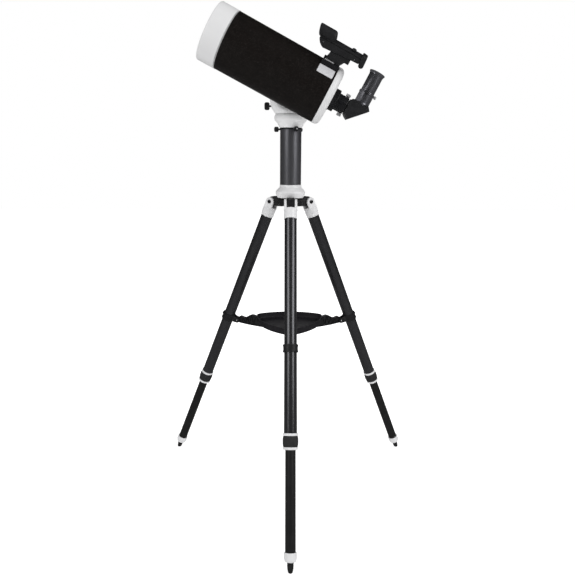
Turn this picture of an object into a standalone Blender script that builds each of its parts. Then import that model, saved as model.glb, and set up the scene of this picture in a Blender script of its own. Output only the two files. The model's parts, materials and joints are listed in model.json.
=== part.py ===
"""Small catadioptric telescope on an alt-azimuth head, a short pier and a folding tripod.

Frame: metres, +Z up, origin on the floor at the middle of the whole object's box.  The
azimuth axis stands AXIS_Y behind it.  The front leg points along -Y, and the optical tube
hangs on the -Y side of the head with its mouth towards -X.
"""

import math

import bmesh
import bpy
from mathutils import Matrix, Vector

# ---------------------------------------------------------------- driving dimensions
GAP = 0.0003                      # air between two pieces that touch
AXIS_Y = 0.1030                   # the azimuth axis, which is also the tripod's
LEG_SIDES = 16                    # facets round a leg's pieces
TUBE_SIDES = 32                   # facets round the optical tube's pieces

# tripod
LEG_BEARINGS = {"front": 0.0, "right": 120.0, "left": -120.0}   # degrees from -Y towards +X
LEG_SPLAY = math.radians(23.7)    # from the vertical
LEG_LENGTH = 0.9064               # hinge to rubber tip
HINGE_RADIUS = 0.0565             # hinge from the tripod's axis
HINGE_Z = LEG_LENGTH * math.cos(LEG_SPLAY)
LUG_HALF = 0.0102
LUG_END = 0.0120
EAR_INNER = 0.0107
EAR_OUTER = 0.0172
EAR_END = 0.0118
BOLT_R = 0.0030
UPPER_R = 0.0161
UPPER_BORE = 0.0139
UPPER_TOP = 0.0225                # distances down a leg are from its hinge
UPPER_END = 0.5924
LOWER_R = 0.0127
LOWER_BORE = 0.0109
LOWER_TOP = 0.3264
LOWER_END = 0.8704
LOCK_TOP = 0.5884
LOCK_END = 0.6274
LOCK_FLANGE = 0.0060
LOCK_R = 0.0182
GRIP_R = 0.0192
COLLAR_TOP = 0.8614
COLLAR_END = 0.8826
COLLAR_R = 0.0155
TIP_R = 0.0080

# spreader
CLAMP_TOP = 0.3714
CLAMP_END = 0.3914
CLAMP_R = 0.0194
PIN_DOWN = 0.3754                 # spreader pin, along the leg
PIN_OUT = 0.0350                  # spreader pin, inwards from the leg's axis
PIN_R = 0.0025
ARM_HALF = 0.0050
HUB_PIN_RADIUS = 0.0260           # inner end of an arm, from the tripod's axis
HUB_PIN_Z = 0.4706
TRAY_RADIUS = 0.1060
TRAY_TIP = 0.0220
TRAY_SIDE = 0.0820
TRAY_BOTTOM = 0.4815
TRAY_TOP = 0.5005
TRAY_WALL = 0.0025

# hub, pier and head
SPIDER_R = 0.0340
PIER_R = 0.02845
PIER_BORE = 0.0258
PIER_BOTTOM = 0.8771
PIER_TOP = 1.0252
PIER_SCREW_Z = 1.0218
PIER_SCREW_BEARINGS = (20.0, -100.0, 140.0)
AXLE_R = 0.0118
AXLE_TOP = 1.0880
BODY_BOTTOM = 1.0608
BODY_HALF = 0.0555
BODY_FRONT = -0.0275
BODY_BACK = 0.0470
BODY_CROWN = 0.0620
ALTITUDE_Z = 1.1400
SHAFT_R = 0.0119
AZ_KNOB_Z = 1.0805

# optical tube; x runs along the tube from the altitude axis, towards the sky
TUBE_Y = -0.1300
TUBE_TILT = math.radians(27.56)
TUBE_R = 0.0714
TUBE_BORE = 0.0689
CELL_R = 0.0720
MOUTH_X = 0.2206
RING_X = 0.1757
TUBE_BACK_X = -0.0912
CELL_BACK_X = -0.1085
LENS_R = 0.0632
MIRROR_R = 0.0640
BAFFLE_R = 0.0182
BACK_R = 0.0208
BACK_RING_R = 0.0252
BACK_SCREW_X = -0.1420
NOSE_R = 0.01585
NOSE_BORE = 0.0162
EYEPIECE_X = -0.1785
HOLDER_TOP = 0.0525
FOCUS_Y = -0.0430
SADDLE_FACE = -0.0845             # local y of the saddle's floor
SADDLE_R = 0.0360
FINDER_ROLL = math.radians(30.0)
FINDER_HALF = 0.0105
HOOD_R = 0.0135
HOOD_W = 0.1312
HOOD_SHEAR = 0.30

COLOURS = {
    "black_tube": ((0.020, 0.018, 0.017), 0.35, 0.0),
    "white_paint": ((0.800, 0.800, 0.810), 0.45, 0.0),
    "grey_pier": ((0.075, 0.075, 0.085), 0.38, 0.6),
    "black_anodised": ((0.030, 0.030, 0.034), 0.42, 0.5),
    "black_plastic": ((0.025, 0.025, 0.028), 0.55, 0.0),
    "rubber": ((0.018, 0.018, 0.018), 0.85, 0.0),
    "steel": ((0.700, 0.700, 0.700), 0.25, 1.0),
    "glass": ((0.250, 0.320, 0.400), 0.05, 0.0),
    "mirror": ((0.850, 0.860, 0.880), 0.05, 1.0),
}


# ---------------------------------------------------------------- helpers
def clear_scene():
    for obj in list(bpy.data.objects):
        bpy.data.objects.remove(obj, do_unlink=True)


def material(slot):
    found = bpy.data.materials.get(slot)
    if found:
        return found
    rgb, rough, metal = COLOURS[slot]
    made = bpy.data.materials.new(slot)
    made.use_nodes = True
    shader = made.node_tree.nodes["Principled BSDF"]
    shader.inputs["Base Color"].default_value = (*rgb, 1.0)
    shader.inputs["Roughness"].default_value = rough
    shader.inputs["Metallic"].default_value = metal
    return made


def empty(name, parent=None, location=(0, 0, 0), rotation=(0, 0, 0)):
    made = bpy.data.objects.new(name, None)
    bpy.context.collection.objects.link(made)
    made.parent = parent
    made.location = location
    made.rotation_euler = rotation
    return made


def finish(bm, name, slot, parent=None, location=(0, 0, 0), rotation=(0, 0, 0)):
    bmesh.ops.recalc_face_normals(bm, faces=bm.faces)
    mesh = bpy.data.meshes.new(name)
    bm.to_mesh(mesh)
    bm.free()
    obj = bpy.data.objects.new(name, mesh)
    bpy.context.collection.objects.link(obj)
    obj.data.materials.append(material(slot))
    obj.data.shade_smooth()
    obj.data.set_sharp_from_angle(angle=math.radians(35))
    obj.parent = parent
    obj.location = location
    obj.rotation_euler = rotation
    return obj


AXIS_TURN = {
    "X": Matrix.Rotation(math.radians(90), 4, "Y"),
    "Y": Matrix.Rotation(math.radians(-90), 4, "X"),
    "Z": Matrix.Identity(4),
}


def turned(profile, segments=24, axis="Z", hollow=False, centre=(0, 0, 0)):
    """Revolve (distance along the axis, radius) points; hollow closes the profile on itself."""
    bm = bmesh.new()
    rings = []
    for along, radius in profile:
        ring = []
        for step in range(segments):
            angle = 2 * math.pi * (step + 0.5) / segments
            ring.append(bm.verts.new((radius * math.cos(angle), radius * math.sin(angle), along)))
        rings.append(ring)
    pairs = list(zip(rings, rings[1:]))
    if hollow:
        pairs.append((rings[-1], rings[0]))
    else:
        bm.faces.new(rings[0])
        bm.faces.new(rings[-1])
    for one, two in pairs:
        for step in range(segments):
            after = (step + 1) % segments
            bm.faces.new((one[step], one[after], two[after], two[step]))
    bmesh.ops.transform(bm, matrix=AXIS_TURN[axis], verts=bm.verts)
    bmesh.ops.translate(bm, vec=Vector(centre), verts=bm.verts)
    return bm


PLANE_AXES = {"YZ": (1, 2, 0), "XZ": (0, 2, 1), "XY": (0, 1, 2)}


def plate(outline, low, high, plane="YZ"):
    """Extrude a flat outline from low to high along the axis across its plane."""
    first, second, across = PLANE_AXES[plane]
    bm = bmesh.new()
    ends = []
    for level in (low, high):
        ring = []
        for one, two in outline:
            place = [0.0, 0.0, 0.0]
            place[first] = one
            place[second] = two
            place[across] = level
            ring.append(bm.verts.new(place))
        ends.append(ring)
        bm.faces.new(ring)
    count = len(outline)
    for step in range(count):
        after = (step + 1) % count
        bm.faces.new((ends[0][step], ends[0][after], ends[1][after], ends[1][step]))
    return bm


def stack(loops):
    """Close a stack of equal-length loops of 3-D points with a face at each end."""
    bm = bmesh.new()
    rings = [[bm.verts.new(point) for point in loop] for loop in loops]
    bm.faces.new(rings[0])
    bm.faces.new(rings[-1])
    for one, two in zip(rings, rings[1:]):
        for step in range(len(one)):
            after = (step + 1) % len(one)
            bm.faces.new((one[step], one[after], two[after], two[step]))
    return bm


def arc(centre, radius, start, end, steps):
    """Points on a circle from start to end degrees."""
    points = []
    for step in range(steps + 1):
        angle = math.radians(start + (end - start) * step / steps)
        points.append((centre[0] + radius * math.cos(angle), centre[1] + radius * math.sin(angle)))
    return points


def combine(target, bm, operation, name):
    """Add a Boolean to target whose operand is a hidden guide in the target's own frame."""
    guide = finish(bm, name, target.data.materials[0].name)
    guide.parent = target
    guide.hide_render = True
    guide.display_type = "WIRE"
    modifier = target.modifiers.new(name, "BOOLEAN")
    modifier.operation = operation
    modifier.object = guide
    return guide


def add(target, bm, name):
    return combine(target, bm, "UNION", f"guide_{target.name}_{name}")


def cut(target, bm, name):
    return combine(target, bm, "DIFFERENCE", f"cutter_{target.name}_{name}")


def rod(radius, low, high, axis="Z", centre=(0, 0, 0), segments=12):
    return turned([(low, radius), (high, radius)], segments, axis, centre=centre)


def thumbscrew(tip, neck, end, shaft_r, head_r, segments=12, axis="Z"):
    """A screw from its tip outwards: a plain shaft up to neck, then a chamfered head."""
    chamfer = head_r * 0.2
    profile = [
        (tip, shaft_r),
        (neck, shaft_r),
        (neck, head_r - chamfer),
        (neck + chamfer, head_r),
        (end - chamfer, head_r),
        (end, head_r - chamfer),
    ]
    return turned(profile, segments, axis)


# ---------------------------------------------------------------- tripod legs
def leg_frame(side, stand):
    """At the leg's hinge: x along the hinge, y inwards across the leg, z up the leg."""
    bearing = math.radians(LEG_BEARINGS[side])
    place = (HINGE_RADIUS * math.sin(bearing), -HINGE_RADIUS * math.cos(bearing), HINGE_Z)
    return empty(f"leg_frame_{side}", stand, place, (-LEG_SPLAY, 0, bearing))


def leg_hinge_cap(side, frame):
    profile = [
        (-0.0140, 0.0158),
        (-0.0156, 0.0178),
        (-0.0430, 0.0178),
        (-0.0430, UPPER_R + GAP),
        (-UPPER_TOP + GAP, UPPER_R + GAP),
    ]
    cap = finish(turned(profile, LEG_SIDES), f"leg_hinge_cap_{side}", "white_paint", frame)
    outline = [(-EAR_END, -0.0200), *arc((0, 0), EAR_END, 180, 0, 8), (EAR_END, -0.0200)]
    add(cap, plate(outline, EAR_INNER, EAR_OUTER), "ear_a")
    add(cap, plate(outline, -EAR_OUTER, -EAR_INNER), "ear_b")
    cut(cap, rod(BOLT_R + GAP, -0.03, 0.03, "X"), "bolt_hole")


def leg_hinge_bolt(side, frame):
    head = EAR_OUTER + GAP
    profile = [
        (-head - 0.0027, 0.0036),
        (-head - 0.0019, 0.0048),
        (-head, 0.0048),
        (-head, BOLT_R),
        (head, BOLT_R),
        (head, 0.0048),
        (head + 0.0019, 0.0048),
        (head + 0.0027, 0.0036),
    ]
    finish(turned(profile, 12, "X"), f"leg_hinge_bolt_{side}", "black_anodised", frame)


def leg_tube(name, frame, top, end, radius, bore):
    profile = [(-top, bore), (-top, radius), (-end, radius), (-end, bore)]
    finish(turned(profile, LEG_SIDES, hollow=True), name, "black_anodised", frame)


def twist_lock(side, frame):
    """A white body clamped on the upper tube, and the black grip that turns on it."""
    waist = LOCK_R - 0.0010
    step = UPPER_END + GAP
    profile = [
        (-LOCK_TOP, UPPER_R + GAP),
        (-LOCK_TOP, LOCK_R),
        (-LOCK_TOP - LOCK_FLANGE, LOCK_R),
        (-LOCK_TOP - LOCK_FLANGE, waist),
        (-LOCK_END + LOCK_FLANGE, waist),
        (-LOCK_END + LOCK_FLANGE, LOCK_R),
        (-LOCK_END, LOCK_R),
        (-LOCK_END, LOWER_R + GAP),
        (-step, LOWER_R + GAP),
        (-step, UPPER_R + GAP),
    ]
    finish(turned(profile, LEG_SIDES, hollow=True), f"lock_body_{side}", "white_paint", frame)
    top = -LOCK_TOP - LOCK_FLANGE - GAP
    end = -LOCK_END + LOCK_FLANGE + GAP
    bore = waist + 2 * GAP
    grip = [(top, bore), (top, GRIP_R), (end, GRIP_R), (end, bore)]
    finish(turned(grip, LEG_SIDES, hollow=True), f"lock_grip_{side}", "black_plastic", frame)


def foot(side, frame):
    profile = [
        (-COLLAR_TOP, LOWER_R + GAP),
        (-COLLAR_TOP, COLLAR_R),
        (-COLLAR_END + 0.001, COLLAR_R),
        (-COLLAR_END, COLLAR_R - 0.001),
        (-COLLAR_END, 0.0058),
        (-COLLAR_END + 0.0100, 0.0058),
        (-LOWER_END - GAP, 0.0058),
        (-LOWER_END - GAP, LOWER_R + GAP),
    ]
    finish(turned(profile, LEG_SIDES, hollow=True), f"foot_collar_{side}", "white_paint", frame)
    tip = [
        (-COLLAR_END + 0.0095, 0.0055),
        (-COLLAR_END - GAP, 0.0055),
        (-COLLAR_END - GAP, TIP_R),
        (-LEG_LENGTH + 0.0060, TIP_R - 0.0006),
        (-LEG_LENGTH + 0.0015, TIP_R - 0.0018),
        (-LEG_LENGTH - 0.0020, TIP_R - 0.0036),
    ]
    bm = turned(tip, LEG_SIDES)
    floor = Vector((0, math.sin(LEG_SPLAY), -math.cos(LEG_SPLAY)))
    flat = bmesh.ops.bisect_plane(
        bm,
        geom=bm.verts[:] + bm.edges[:] + bm.faces[:],
        plane_co=(0, 0, -LEG_LENGTH),
        plane_no=floor,
        clear_outer=True,
    )
    rim = [item for item in flat["geom_cut"] if isinstance(item, bmesh.types.BMEdge)]
    bmesh.ops.contextual_create(bm, geom=rim)
    finish(bm, f"foot_tip_{side}", "rubber", frame)


def leg(side, stand):
    frame = leg_frame(side, stand)
    leg_hinge_cap(side, frame)
    leg_hinge_bolt(side, frame)
    leg_tube(f"leg_upper_tube_{side}", frame, UPPER_TOP, UPPER_END, UPPER_R, UPPER_BORE)
    twist_lock(side, frame)
    spreader_clamp(side, frame)
    lower = empty(f"lower_leg_frame_{side}", frame)
    leg_tube(f"leg_lower_tube_{side}", lower, LOWER_TOP, LOWER_END, LOWER_R, LOWER_BORE)
    foot(side, lower)


# ---------------------------------------------------------------- spreader and tray
def spreader_clamp(side, frame):
    """A ring on the upper tube with two ears, and the pin riveted across them."""
    bore = UPPER_R + GAP
    profile = [(-CLAMP_TOP, bore), (-CLAMP_TOP, CLAMP_R), (-CLAMP_END, CLAMP_R), (-CLAMP_END, bore)]
    ring = turned(profile, LEG_SIDES, hollow=True)
    clamp = finish(ring, f"spreader_clamp_{side}", "black_plastic", frame)
    ear_end = 0.0070
    outline = [
        (0.0155, -CLAMP_END + 0.0025),
        *arc((PIN_OUT, -PIN_DOWN), ear_end, -80, 80, 6),
        (0.0155, -CLAMP_TOP - 0.0015),
    ]
    inner = ARM_HALF + 2 * GAP
    add(clamp, plate(outline, inner, inner + 0.0034), "ear_a")
    add(clamp, plate(outline, -inner - 0.0034, -inner), "ear_b")
    centre = (0, PIN_OUT, -PIN_DOWN)
    half = inner + 0.0034 + 0.0015
    add(clamp, rod(PIN_R, -half, half, "X", centre), "pin")


def rib_height(inwards):
    """The scalloped top edge of an arm, above its pin."""
    wave = 0.0032 * (1 - math.cos(2 * math.pi * (inwards - 0.0261) / 0.0436))
    return 0.0126 + 0.202 * (inwards - 0.0261) + wave


def spreader_arm(side, stand):
    bearing = math.radians(LEG_BEARINGS[side])
    out = HINGE_RADIUS + PIN_DOWN * math.sin(LEG_SPLAY) - PIN_OUT * math.cos(LEG_SPLAY)
    height = HINGE_Z - PIN_DOWN * math.cos(LEG_SPLAY) - PIN_OUT * math.sin(LEG_SPLAY)
    place = (out * math.sin(bearing), -out * math.cos(bearing), height)
    reach = out - HUB_PIN_RADIUS
    drop = HUB_PIN_Z - height
    rib_end = out - TRAY_RADIUS - 0.0065
    steps = 14
    top = []
    for step in range(steps + 1):
        inwards = 0.0090 + (rib_end - 0.0090) * step / steps
        top.append((inwards, rib_height(inwards)))
    outline = [
        *arc((0, 0), 0.0056, 250, 100, 7),
        *top,
        (rib_end + 0.0045, TRAY_BOTTOM - height - 0.0030),
        *arc((reach, drop), 0.0042, 90, -90, 5),
        (rib_end, -0.0085),
        (0.0340, -0.0079),
    ]
    arm = finish(
        plate(outline, -ARM_HALF, ARM_HALF),
        f"spreader_arm_{side}",
        "black_plastic",
        stand,
        place,
        (0, 0, bearing),
    )
    cut(arm, rod(PIN_R + 1.4 * GAP, -0.02, 0.02, "X"), "pin_hole")


def tray_outline(inset, height):
    """A triangle with rounded corners towards the legs and gently bowed sides."""
    tip = TRAY_TIP - inset
    corner = TRAY_RADIUS - TRAY_TIP
    side = TRAY_SIDE - TRAY_TIP
    half = corner * math.cos(math.radians(60))
    bow_centre = (side**2 - corner**2) / (2 * (side - half))
    bow_radius = side - bow_centre
    rise = math.degrees(math.asin(corner * math.sin(math.radians(60)) / bow_radius))
    points = []
    for bearing in (-90, 30, 150):
        angle = math.radians(bearing)
        tip_centre = (corner * math.cos(angle), corner * math.sin(angle))
        points += arc(tip_centre, tip, bearing - 60 + rise, bearing + 60 - rise, 6)
        middle = bearing + 60
        away = math.radians(middle)
        side_centre = (bow_centre * math.cos(away), bow_centre * math.sin(away))
        bow = arc(side_centre, bow_radius + tip, middle - rise, middle + rise, 10)
        points += bow[1:-1]
    return [(x, y, height) for x, y in points]


def accessory_tray(stand):
    floor = TRAY_BOTTOM + 0.0030
    loops = [
        tray_outline(0.0015, TRAY_BOTTOM),
        tray_outline(0.0, TRAY_TOP),
        tray_outline(TRAY_WALL, TRAY_TOP),
        tray_outline(TRAY_WALL + 0.0015, floor),
    ]
    finish(stack(loops), "accessory_tray", "black_plastic", stand)


# ---------------------------------------------------------------- hub and pier
def tripod_hub(stand):
    underside = HINGE_Z + LUG_END + GAP
    profile = [
        (underside, 0.0350),
        (underside + 0.0060, 0.0380),
        (0.8545, 0.0400),
        (0.8590, 0.0397),
        (0.8645, 0.0350),
        (0.8690, 0.0304),
        (0.8715, 0.0292),
        (PIER_BOTTOM - GAP, 0.0292),
        (PIER_BOTTOM - GAP, PIER_BORE - GAP),
        (PIER_BOTTOM + 0.0200, PIER_BORE - GAP),
    ]
    finish(turned(profile, 28), "tripod_hub", "white_paint", stand)


def hub_spider(stand):
    """The black casting under the hub whose lugs carry the legs."""
    profile = [(HINGE_Z - 0.0077, SPIDER_R), (HINGE_Z + 0.0077, SPIDER_R)]
    spider = finish(turned(profile, 24), "hub_spider", "black_plastic", stand)
    outline = [
        (0.0150, HINGE_Z - LUG_END),
        *arc((HINGE_RADIUS, HINGE_Z), LUG_END, -90, 90, 8),
        (0.0150, HINGE_Z + LUG_END),
    ]
    for side, bearing in LEG_BEARINGS.items():
        turn = Matrix.Rotation(math.radians(bearing - 180), 4, "Z")
        lug = plate(outline, -LUG_HALF, LUG_HALF)
        bmesh.ops.transform(lug, matrix=turn, verts=lug.verts)
        add(spider, lug, f"lug_{side}")
    for side, bearing in LEG_BEARINGS.items():
        turn = Matrix.Rotation(math.radians(bearing - 180), 4, "Z")
        hole = rod(BOLT_R + GAP, -0.02, 0.02, "X", (0, HINGE_RADIUS, HINGE_Z))
        bmesh.ops.transform(hole, matrix=turn, verts=hole.verts)
        cut(spider, hole, f"hole_{side}")


def pier(stand):
    lip = PIER_R + 0.00065
    profile = [
        (PIER_BOTTOM, PIER_BORE),
        (PIER_BOTTOM, PIER_R),
        (PIER_TOP - 0.0042, PIER_R),
        (PIER_TOP - 0.0042, lip),
        (PIER_TOP, lip),
        (PIER_TOP, PIER_BORE),
    ]
    tube = finish(turned(profile, 28, hollow=True), "pier_tube", "grey_pier", stand)
    for number, bearing in enumerate(PIER_SCREW_BEARINGS, 1):
        angle = math.radians(bearing - 90)
        hole = rod(0.0028, PIER_BORE - 0.004, lip + 0.004, "X")
        spin = Matrix.Translation((0, 0, PIER_SCREW_Z)) @ Matrix.Rotation(angle, 4, "Z")
        bmesh.ops.transform(hole, matrix=spin, verts=hole.verts)
        cut(tube, hole, f"hole_{number}")
        screw = thumbscrew(PIER_BORE + GAP, 0.0333, 0.0445, 0.0024, 0.0069, axis="X")
        place = (0, 0, PIER_SCREW_Z)
        finish(screw, f"pier_screw_{number}", "black_plastic", stand, place, (0, 0, angle))


# ---------------------------------------------------------------- alt-azimuth head
def azimuth_base(stand):
    top = BODY_BOTTOM - GAP
    profile = [
        (1.0000, 0.0225),
        (1.0015, PIER_BORE - 0.0005),
        (PIER_TOP + GAP, PIER_BORE - 0.0005),
        (PIER_TOP + GAP, 0.0300),
        (1.0360, 0.0346),
        (1.0395, 0.0375),
        (1.0435, 0.0420),
        (1.0480, 0.0438),
        (1.0540, 0.0438),
        (1.0585, 0.0418),
        (top, 0.0395),
        (top, AXLE_R),
        (AXLE_TOP, AXLE_R),
    ]
    finish(turned(profile, 28), "azimuth_base", "white_paint", stand)


def rounded_section(half, front, back, corner, height):
    points = []
    spots = ((half, back, 0), (-half, back, 90), (-half, front, 180), (half, front, 270))
    for x, y, start in spots:
        centre = (x - math.copysign(corner, x), y - math.copysign(corner, y))
        points += arc(centre, corner, start, start + 90, 5)
    return [(x, y, height) for x, y in points]


def mount_body(frame):
    sections = [
        (BODY_BOTTOM, 0.0410, -0.0385, 0.0385, 0.0380),
        (BODY_BOTTOM + 0.0080, 0.0465, -0.0375, 0.0410, 0.0340),
        (BODY_BOTTOM + 0.0210, 0.0530, -0.0310, 0.0450, 0.0220),
        (BODY_BOTTOM + 0.0380, BODY_HALF, BODY_FRONT, BODY_BACK, 0.0120),
        (ALTITUDE_Z, BODY_HALF, BODY_FRONT, BODY_BACK, 0.0100),
    ]
    for lift in (0.40, 0.65, 0.82, 0.94, 1.0):
        height = ALTITUDE_Z + lift * BODY_CROWN
        half = BODY_HALF * math.sqrt(max(1 - (lift * 0.93) ** 2, 0.01))
        shrink = 0.004 * lift**4
        sections.append((height, half, BODY_FRONT + shrink, BODY_BACK - shrink, 0.0100))
    loops = [rounded_section(half, front, back, corner, z) for z, half, front, back, corner in sections]
    body = finish(stack(loops), "mount_body", "white_paint", frame)
    cut(body, rod(AXLE_R + 0.0005, BODY_BOTTOM - 0.01, AXLE_TOP + 0.001, segments=24), "axle")
    shaft = rod(SHAFT_R + 0.0005, -0.08, 0.08, "Y", (0, 0, ALTITUDE_Z), 24)
    cut(body, shaft, "shaft")
    cut(body, rod(0.0028, -0.08, -0.006, "X", (0, 0, AZ_KNOB_Z)), "knob")


def head_knobs(frame):
    """The azimuth lock on the head's side, and the altitude lock on its back."""
    azimuth = thumbscrew(AXLE_R + 0.0004, 0.0565, 0.0700, 0.0024, 0.0101, 16, "X")
    finish(azimuth, "azimuth_lock_knob", "black_plastic", frame, (0, 0, AZ_KNOB_Z), (0, 0, math.pi))
    start = BODY_BACK + 2 * GAP
    profile = [
        (start, SHAFT_R + 0.0006),
        (start, 0.0260),
        (start + 0.0030, 0.0280),
        (start + 0.0150, 0.0270),
        (start + 0.0180, 0.0240),
        (start + 0.0180, SHAFT_R + 0.0006),
    ]
    knob = turned(profile, 24, "Y", hollow=True)
    finish(knob, "altitude_lock_knob", "black_plastic", frame, (0, 0, ALTITUDE_Z))


def saddle(frame):
    """Turntable, shaft and dovetail jaws, in the tube's frame."""
    back = -(BODY_FRONT - 0.0006) + TUBE_Y
    tail = -(BODY_BACK + 0.0130) + TUBE_Y
    profile = [
        (tail, SHAFT_R),
        (back, SHAFT_R),
        (back, SADDLE_R - 0.0015),
        (back + 0.0015, SADDLE_R),
        (SADDLE_FACE, SADDLE_R),
    ]
    plate_and_shaft = finish(turned(profile, 24, "Y"), "saddle", "black_plastic", frame)
    for sign, name in ((1, "jaw_a"), (-1, "jaw_b")):
        outline = [
            (SADDLE_FACE - 0.0020, sign * 0.0222),
            (SADDLE_FACE, sign * 0.0222),
            (SADDLE_FACE + 0.0085, sign * 0.0194),
            (SADDLE_FACE + 0.0085, sign * 0.0335),
            (SADDLE_FACE - 0.0020, sign * 0.0335),
        ]
        add(plate_and_shaft, plate(outline, -0.0300, 0.0300), name)
    hole = rod(0.0028, -0.045, -0.0245, centre=(0, SADDLE_FACE - 0.0035, 0))
    cut(plate_and_shaft, hole, "clamp_hole")
    knob = thumbscrew(0.0250, 0.0400, 0.0580, 0.0024, 0.0085)
    place = (0, SADDLE_FACE - 0.0035, 0)
    finish(knob, "saddle_clamp_knob", "black_plastic", frame, place, (math.pi, 0, 0))


# ---------------------------------------------------------------- optical tube
def tube_frame(stand):
    """On the altitude axis: x along the tube towards the sky, y towards -Y, z up across it."""
    return empty("tube_frame", stand, (0, TUBE_Y, ALTITUDE_Z), (0, -TUBE_TILT, math.pi))


def dovetail_bar(frame):
    far = SADDLE_FACE + GAP
    near = -CELL_R
    outline = [(far, -0.0218), (near, -0.0180), (near, 0.0180), (far, 0.0218)]
    finish(plate(outline, -0.1000, 0.1120), "dovetail_bar", "black_anodised", frame)


def optical_tube(frame):
    end = RING_X - GAP
    profile = [(TUBE_BACK_X, TUBE_BORE), (TUBE_BACK_X, TUBE_R), (end, TUBE_R), (end, TUBE_BORE)]
    finish(turned(profile, TUBE_SIDES, "X", hollow=True), "optical_tube", "black_tube", frame)


def front_ring(frame):
    spigot = TUBE_BORE - GAP
    profile = [
        (RING_X - 0.0117, spigot),
        (RING_X, spigot),
        (RING_X, CELL_R),
        (MOUTH_X - 0.0020, CELL_R),
        (MOUTH_X, CELL_R - 0.0018),
        (MOUTH_X, LENS_R + 0.0018),
        (MOUTH_X - 0.0060, LENS_R + GAP),
        (RING_X + 0.0103, LENS_R + GAP),
        (RING_X + 0.0103, LENS_R - 0.0032),
        (RING_X - 0.0117, LENS_R + 0.0018),
    ]
    finish(turned(profile, TUBE_SIDES, "X", hollow=True), "front_ring", "white_paint", frame)


def bowl(edge, depth, radii):
    """Profile points of a shallow bowl that sinks by depth from its edge to its middle."""
    outer = radii[0]
    return [(edge - depth * (1 - (r / outer) ** 2), r) for r in radii]


def corrector_lens(frame):
    clear = LENS_R - 0.0037
    seat = RING_X + 0.0103 + GAP
    front = bowl(seat + 0.0130, 0.0100, [LENS_R, LENS_R * 0.75, LENS_R * 0.5, LENS_R * 0.25])
    back = bowl(seat, 0.0090, [clear, clear * 0.75, clear * 0.5, clear * 0.25])
    profile = [*reversed(back), (seat, LENS_R), *front]
    finish(turned(profile, TUBE_SIDES, "X"), "corrector_lens", "glass", frame)


def primary_mirror(frame):
    radii = [MIRROR_R, MIRROR_R * 0.75, MIRROR_R * 0.5, BAFFLE_R + 0.0008]
    face = bowl(-0.0550, 0.0040, radii)
    profile = [(-0.0700, BAFFLE_R + 0.0008), (-0.0700, MIRROR_R), *face]
    finish(turned(profile, TUBE_SIDES, "X", hollow=True), "primary_mirror", "mirror", frame)


def baffle_tube(frame):
    bore = BAFFLE_R - 0.0020
    profile = [(-0.1075, bore), (-0.1075, BAFFLE_R), (0.0600, BAFFLE_R), (0.0600, bore)]
    finish(turned(profile, 24, "X", hollow=True), "baffle_tube", "black_plastic", frame)


def rear_cell(frame):
    spigot = TUBE_BORE - GAP
    shoulder = TUBE_BACK_X - GAP
    back = CELL_BACK_X
    profile = [
        (shoulder + 0.0115, spigot),
        (shoulder, spigot),
        (shoulder, CELL_R),
        (back + 0.0120, CELL_R),
        (back + 0.0078, CELL_R - 0.0008),
        (back + 0.0042, CELL_R - 0.0030),
        (back + 0.0014, CELL_R - 0.0068),
        (back, CELL_R - 0.0130),
        (back, BACK_R + 0.0004),
        (back - 0.0065, BACK_R + 0.0004),
        (back - 0.0065, BAFFLE_R + GAP),
        (back + 0.0120, BAFFLE_R + GAP),
        (back + 0.0120, 0.0280),
        (back + 0.0060, 0.0310),
        (back + 0.0060, CELL_R - 0.0150),
        (back + 0.0110, CELL_R - 0.0078),
        (shoulder + 0.0115, CELL_R - 0.0070),
    ]
    cell = finish(turned(profile, TUBE_SIDES, "X", hollow=True), "rear_cell", "white_paint", frame)
    cut(cell, rod(0.0034, -0.13, -0.08, "X", (0, FOCUS_Y, 0)), "focus_hole")


def focus_knob(frame):
    knob = thumbscrew(0.0750, 0.1090, 0.1290, 0.0030, 0.0115, 20, "X")
    finish(knob, "focus_knob", "rubber", frame, (0, FOCUS_Y, 0), (0, 0, math.pi))


def visual_back(frame):
    recess = BACK_R + 0.0007
    ring = -0.1090
    profile = [
        (ring, recess),
        (ring, BACK_RING_R - 0.0007),
        (ring - 0.0007, BACK_RING_R),
        (ring - 0.0103, BACK_RING_R),
        (ring - 0.0110, BACK_RING_R - 0.0007),
        (ring - 0.0110, BACK_R),
        (-0.1475, BACK_R),
        (-0.1475, NOSE_BORE),
        (CELL_BACK_X - 0.0069, NOSE_BORE),
        (CELL_BACK_X - 0.0069, recess),
    ]
    back = finish(turned(profile, 24, "X", hollow=True), "visual_back", "black_anodised", frame)
    cut(back, rod(0.0024, -0.03, 0.03, "Z", (BACK_SCREW_X, 0, 0)), "screw_holes")
    for name, turn in (("visual_back_screw_top", 0.0), ("visual_back_screw_bottom", math.pi)):
        screw = thumbscrew(NOSE_BORE + GAP, 0.0214, 0.0283, 0.0020, 0.0058)
        finish(screw, name, "steel", frame, (BACK_SCREW_X, 0, 0), (turn, 0, 0))


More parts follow.
